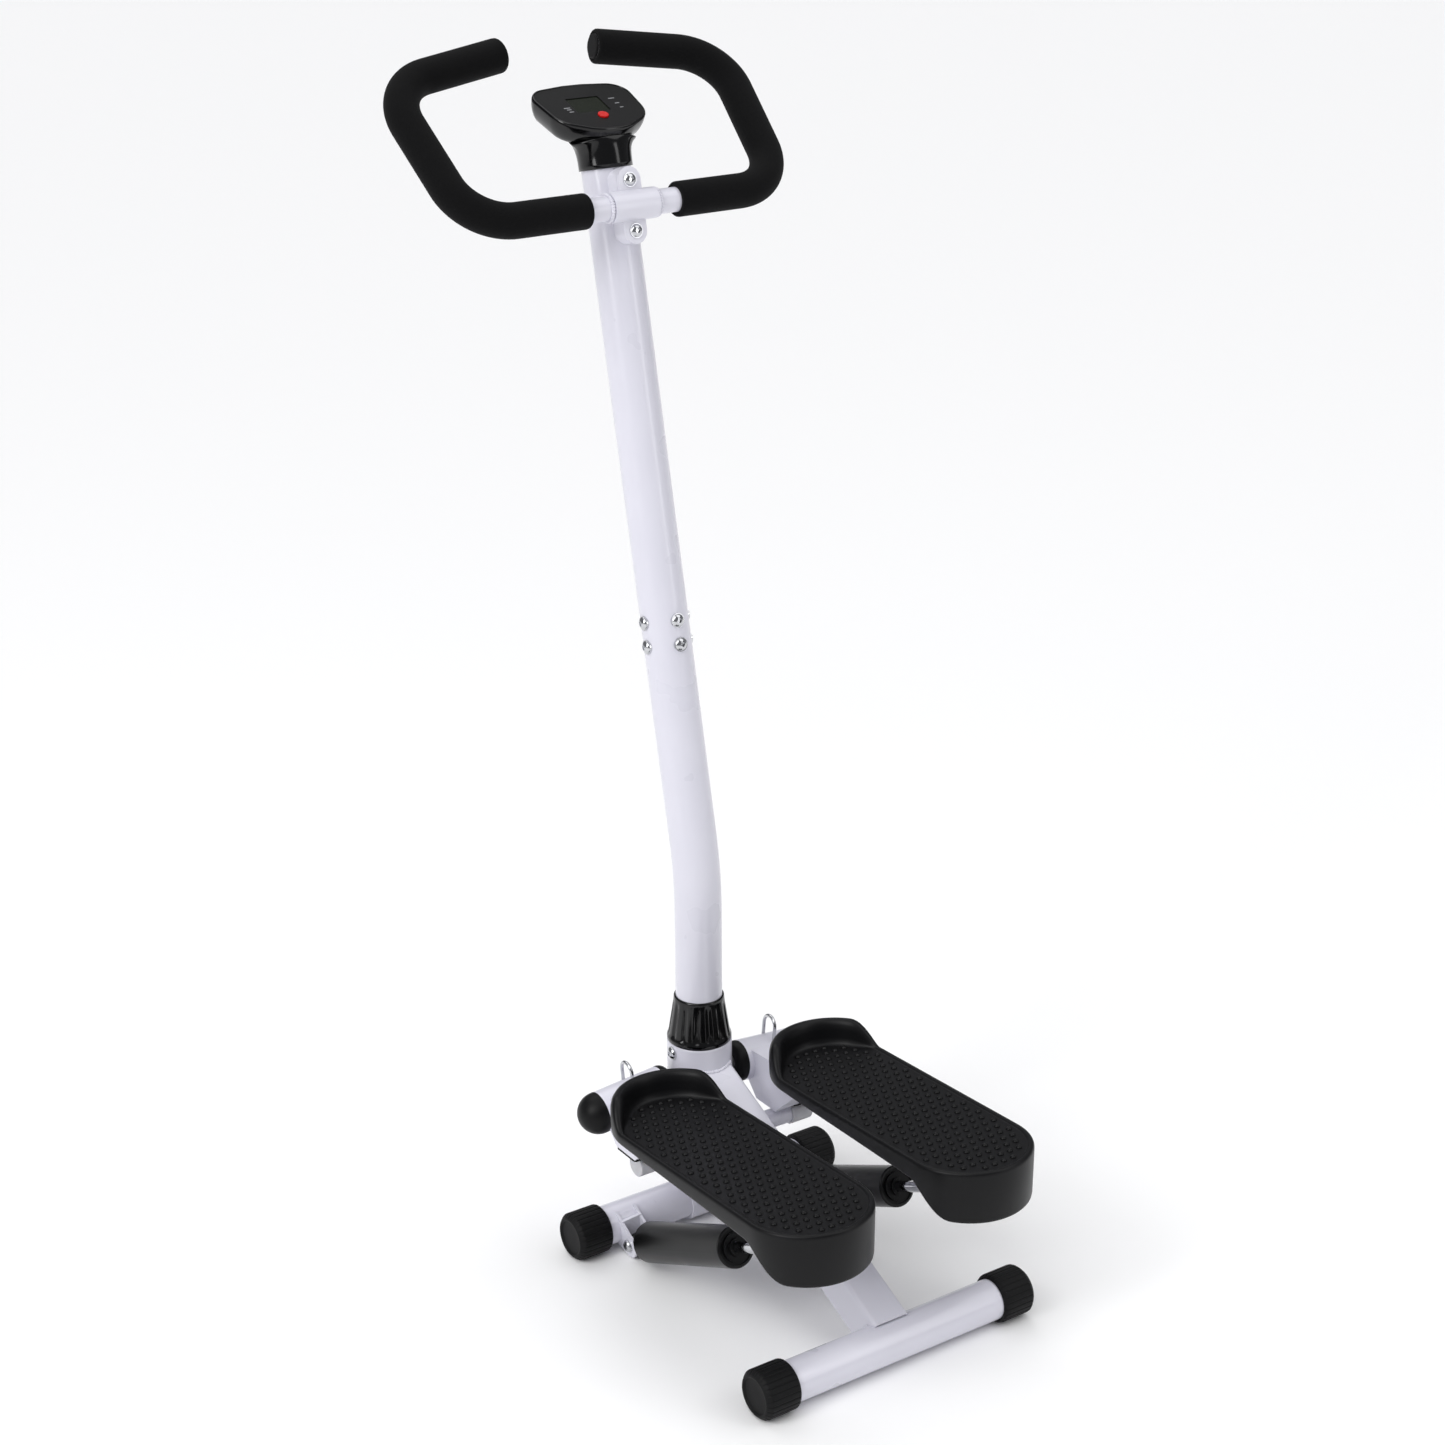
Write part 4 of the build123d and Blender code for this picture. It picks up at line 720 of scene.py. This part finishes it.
# share of the climb to the tub, radius at the sides and back, radius towards the user
neck_rings = [(0, 0.0272, 0.0272), (0.15, 0.0272, 0.0272), (0.35, 0.0273, 0.0271), (0.52, 0.0278, 0.0269),
              (0.67, 0.0289, 0.0265), (0.79, 0.0306, 0.0260), (0.88, 0.0327, 0.0253), (0.95, 0.0352, 0.0244),
              (1.0, 0.0362, 0.0234), (1.05, 0.0320, 0.0200), (1.07, 0.0150, 0.0120)]
neck_points = [neck_start + column_bore * round_column(i)[0] for i in range(shell_steps)]
for share, wide, near in neck_rings:
    for i in range(shell_steps):
        around, angle = round_column(i)
        towards_user = max(0, -sin(angle)) ** 2
        radius = wide + (near - wide) * towards_user
        climb = share * (neck_climb + neck_extra * towards_user)
        climb += share ** 3 * radius * max(0, sin(angle)) * floor_slope
        neck_points.append(neck_start + lean_up * climb + radius * around)
neck = solid_piece("console_socket", neck_points, ring_faces(1 + len(neck_rings), shell_steps))
neck.data.materials.append(gloss_black)
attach(neck, "base")
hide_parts("console_neck")

# height over the face, inset from the outline
tub_rings = [(-0.0250, 0.0150), (-0.0249, 0.0110), (-0.0240, 0.0086), (-0.0222, 0.0064),
             (-0.0190, 0.0042), (-0.0140, 0.0020), (-0.0090, 0.0006), (-0.0044, 0.0001),
             (-0.0022, 0.0), (-0.0010, 0.0004), (-0.0003, 0.0010), (0.0, 0.0016),
             (-0.0003, 0.0021), (-0.0012, 0.0023), (-0.0024, 0.0023)]
shell_points = []
for rise, inset in tub_rings:
    for i in range(shell_steps):
        shell_points.append(on_face(shield_point(2 * pi * i / shell_steps, inset), rise))
console = solid_piece("console_shell", shell_points, ring_faces(len(tub_rings), shell_steps))
console.data.materials.append(gloss_black)
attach(console, "base")
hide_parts("console_housing")

# x, y on the face, length
half_stroke = 0.0005
ink_bottom, ink_top = -0.00095, -0.00082   # against the face, just proud of the cover
mark_spots = [(0.0285, 0.0190, 0.0070), (0.0295, 0.0090, 0.0050), (0.0300, 0.0005, 0.0040),
              (-0.0290, 0.0090, 0.0070), (-0.0285, 0.0055, 0.0050), (-0.0280, 0.0010, 0.0050)]
mark_points, mark_faces = [], []
for x, y, length in mark_spots:
    first = len(mark_points)
    for rise in (ink_bottom, ink_top):
        for dx, dy in ((-1, -1), (1, -1), (1, 1), (-1, 1)):
            corner = Vector((x + dx * length / 2, y + dy * half_stroke))
            mark_points.append(on_face(corner, rise))
    mark_faces += [tuple(first + i for i in face) for face in (
        (3, 2, 1, 0), (4, 5, 6, 7), (0, 1, 5, 4), (1, 2, 6, 5), (2, 3, 7, 6), (3, 0, 4, 7))]


def printed_ink(tree):
    tone = clouded(tree, 900.0, 2.0, "85868b", "c6c7ca")[2]
    return {"Base Color": tone, "Roughness": 0.6}


marks = solid_piece("printed_marks", mark_points, mark_faces, smooth=False)
marks.data.materials.append(finish_material("pale_pad_printed_ink", printed_ink))
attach(marks, "base")


def tinted_window(tree):
    tone = clouded(tree, 40.0, 1.0, "12160e", "1a2014")[2]
    return {"Base Color": tone, "Roughness": 0.2, "Specular IOR Level": 0.14}


def red_key(tree):
    tone = clouded(tree, 300.0, 1.0, "c8100f", "d61a16")[2]
    return {"Base Color": tone, "Roughness": 0.4, "Specular IOR Level": 0.35}


def solder_mask(tree):
    place = add(tree, "ShaderNodeTexCoord").outputs["Object"]
    tracks = add(tree, "ShaderNodeTexVoronoi", {"Vector": place, "Scale": 500.0})
    tone = add(tree, "ShaderNodeMix", {"Factor": tracks.outputs["Distance"], 6: linear("0d4a24"),
                                       7: linear("136b34")}, data_type="RGBA")
    return {"Base Color": tone.outputs[2], "Roughness": 0.3}


coat(["lcd_lens"], finish_material("tinted_acrylic_window", tinted_window))
coat(["console_button"], finish_material("red_silicone_key", red_key))
coat(["circuit_board"], finish_material("green_solder_mask", solder_mask))

# ---- Button-head screws ------------------------------------------------------------------------
# Chromed M8 button heads with a hex socket, each on a washer: eight round the column's joint, two in the
# collar and two in the handlebar clamp.
head_radius = 0.007
head_rise = 0.0046
socket_radius = 0.0029
washer_thick = 0.0024
sharp_edge = radians(35)


def screw_tree():
    """A domed head with a hex socket and a washer on each point, turned along its facing attribute."""
    tree, given = node_tree("button_heads", ("Head Radius", "Head Rise", "Socket Radius", "Washer Radius"))
    dome = flat_ball(tree, given["Head Radius"], given["Head Rise"], 32, 16)
    hexagon = add(tree, "GeometryNodeMeshCylinder", {"Vertices": 6, "Radius": given["Socket Radius"],
                                                     "Depth": given["Head Rise"]})
    lift = add(tree, "ShaderNodeCombineXYZ", {"Z": given["Head Rise"]})
    key = add(tree, "GeometryNodeTransform", {"Geometry": hexagon.outputs["Mesh"],
                                              "Translation": lift.outputs[0]})
    cut = add(tree, "GeometryNodeMeshBoolean", {"Mesh 1": dome, "Mesh 2": key.outputs[0]},
              operation="DIFFERENCE")
    disc = add(tree, "GeometryNodeMeshCylinder", {"Vertices": 32, "Radius": given["Washer Radius"],
                                                  "Depth": washer_thick})
    whole = add(tree, "GeometryNodeJoinGeometry")
    tree.links.new(cut.outputs["Mesh"], whole.inputs[0])
    tree.links.new(disc.outputs["Mesh"], whole.inputs[0])
    facing = add(tree, "GeometryNodeInputNamedAttribute", {"Name": "facing"}, data_type="FLOAT_VECTOR")
    turned = add(tree, "FunctionNodeAlignRotationToVector", {"Vector": facing.outputs["Attribute"]}, axis="Z")
    heads = add(tree, "GeometryNodeInstanceOnPoints", {
        "Points": given["Geometry"], "Instance": whole.outputs[0], "Rotation": turned.outputs[0]})
    end_tree(tree, heads.outputs[0], given["Material"])
    return tree


screw_group = screw_tree()


def heads_at(name, spots, washer_radius):
    """Screw heads at (place, outward direction) pairs."""
    mesh = bpy.data.meshes.new("head_seed")
    mesh.from_pydata([tuple(place) for place, out in spots], [], [])
    facing = mesh.attributes.new("facing", "FLOAT_VECTOR", "POINT")
    facing.data.foreach_set("vector", [value for place, out in spots for value in out])
    heads = grow(name, mesh, screw_group, {
        "Head Radius": head_radius, "Head Rise": head_rise, "Socket Radius": socket_radius,
        "Washer Radius": washer_radius, "Material": chrome})
    edges = bmesh.new()
    edges.from_mesh(heads.data)
    for face in edges.faces:
        face.smooth = True
    for edge in edges.edges:
        edge.smooth = edge.calc_face_angle(0) < sharp_edge
    edges.to_mesh(heads.data)
    edges.free()
    return heads


column_radius = 0.0250
joint_rows = (0.274, 0.249)                # distances up the column from its bend
joint_spots = []
for distance in joint_rows:
    for turn in range(4):
        out = cos(turn * pi / 2) * Vector((1, 0, 0)) + sin(turn * pi / 2) * neck_side
        joint_spots.append((column_bend + lean_up * distance + out * column_radius, out))
collar_low, collar_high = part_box("collar")
collar_side, collar_drop = 0.0348, 0.010   # the screws' distance from the axis, and below the rim
collar_spots = []
for side in (-1, 1):
    place = Vector((side * collar_side, column_y, collar_high.z - collar_drop))
    collar_spots.append((place, Vector((side, 0, 0))))
user_side = -neck_side
clamp_reach, clamp_out, clamp_half_pitch = 0.6935, 0.0417, 0.025
plate_high = column_bend + lean_up * clamp_reach + user_side * clamp_out
clamp_spots = [(plate_high + lean_up * side * clamp_half_pitch, user_side) for side in (-1, 1)]
for name, node, spots, washer_radius in (
    ("column_screw_heads", "column_screws", joint_spots, 0.0076),
    ("collar_screw_heads", "collar_screws", collar_spots, 0.0076),
    ("clamp_screw_heads", "clamp_screws", clamp_spots, 0.0072),
):
    heads = heads_at(name, spots, washer_radius)
    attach(heads, "base")
    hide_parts(node)

# ---- Weld beads --------------------------------------------------------------------------------
# MIG welds under the powder coat: a row of overlapping ripples along the spine's seams at the collar and at
# the rear crossbar, and round the handlebar where a short thicker tube is welded on for the clamp.
ripple_pitch = 0.0026
bead_width = 0.0046
ripple_seed = 7


def bead_tree():
    """Overlapping balls of uneven size along the edges of the mesh, laid out at an even pitch."""
    tree, given = node_tree("weld_beads", ("Pitch", "Bead Width"))
    curve = add(tree, "GeometryNodeMeshToCurve", {"Mesh": given["Geometry"]})
    even = add(tree, "GeometryNodeResampleCurve", {"Curve": curve.outputs[0], "Length": given["Pitch"]},
               mode="LENGTH")
    tangent = add(tree, "GeometryNodeInputTangent")
    turned = add(tree, "FunctionNodeAlignRotationToVector", {"Vector": tangent.outputs[0]}, axis="Z")
    half = add(tree, "ShaderNodeMath", {0: given["Bead Width"], 1: 0.5}, operation="MULTIPLY")
    ball = add(tree, "GeometryNodeMeshUVSphere", {"Segments": 12, "Rings": 8, "Radius": half.outputs[0]})
    smooth = add(tree, "GeometryNodeSetShadeSmooth", {"Geometry": ball.outputs["Mesh"]})
    size = add(tree, "FunctionNodeRandomValue", {
        "Min": (0.86, 0.86, 0.7), "Max": (1.08, 1.08, 0.9), "Seed": ripple_seed}, data_type="FLOAT_VECTOR")
    row = add(tree, "GeometryNodeInstanceOnPoints", {
        "Points": even.outputs[0], "Instance": smooth.outputs[0], "Rotation": turned.outputs[0],
        "Scale": size.outputs[0]})
    end_tree(tree, row.outputs[0], given["Material"])
    return tree


bead_group = bead_tree()


def weld(name, body, seams):
    """One piece of beads along seams, each a list of points, fixed to a body."""
    mesh = bpy.data.meshes.new("seam_seed")
    points = [tuple(point) for seam in seams for point in seam]
    edges, first = [], 0
    for seam in seams:
        edges += [(first + i, first + i + 1) for i in range(len(seam) - 1)]
        first += len(seam)
    mesh.from_pydata(points, edges, [])
    beads = grow(name, mesh, bead_group,
                 {"Pitch": ripple_pitch, "Bead Width": bead_width, "Material": white_coat})
    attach(beads, body)


collar_radius = (collar_high.x - collar_low.x) / 2
spine_half = (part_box("spine")[1].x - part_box("spine")[0].x) / 2
spine_top = 0.191          # height of the spine's top face where it meets the collar
spine_fall = radians(24.4)
side_seam = 0.030          # length of the seam down each side of the spine at the collar
rear_radius = (rear_high.z - rear_low.z) / 2
rear_z = (rear_high.z + rear_low.z) / 2
seam_steps = 24


def spine_surface(y):
    """Height of the spine's top face."""
    return spine_top - (column_y - collar_radius - y) * tan(spine_fall)


collar_seam = []
for i in range(seam_steps + 1):
    x = (spine_half - 0.001) * (2 * i / seam_steps - 1)
    y = column_y - sqrt(collar_radius ** 2 - x ** 2)
    collar_seam.append((x, y, spine_surface(y)))
for side, at in ((-1, 0), (1, len(collar_seam))):
    y = column_y - sqrt(collar_radius ** 2 - spine_half ** 2)
    collar_seam.insert(at, (side * spine_half, y, spine_surface(y) - side_seam))
# the top face meets the rear bar where its height above the bar's middle equals the bar's own surface
drop = spine_surface(rear_y) - rear_z
reach_angle = asin(min(1, drop * cos(spine_fall) / rear_radius)) - spine_fall
touch_y = rear_y + rear_radius * cos(reach_angle)
touch_z = rear_z + rear_radius * sin(reach_angle)
rear_seam = [(x, touch_y, touch_z) for x in (-spine_half + 0.003, spine_half - 0.003)]
wrap_end, wrap_steps = radians(40), 8      # the side seams run on this far below the bar's middle
for side in (-1, 1):
    for step in range(1, wrap_steps + 1):
        angle = reach_angle - step * (reach_angle + wrap_end) / wrap_steps
        point = (side * spine_half, rear_y + rear_radius * cos(angle), rear_z + rear_radius * sin(angle))
        rear_seam.insert(0 if side < 0 else len(rear_seam), point)
weld("frame_welds", "base", [collar_seam, rear_seam])
clamp_half = (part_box("clamp_plate")[1].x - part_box("clamp_plate")[0].x) / 2
clamp_gap = 0.0022         # from the clamp's side to the middle of the bead
bead_ring = 0.0131         # the tube's radius and a little more
rings = []
for side in (-1, 1):
    centre = hinge + Vector((side * (clamp_half + clamp_gap), 0, 0))
    rings.append([centre + bead_ring * Vector((0, cos(2 * pi * i / 32), sin(2 * pi * i / 32)))
                  for i in range(33)])
weld("handlebar_welds", "handlebar", rings)
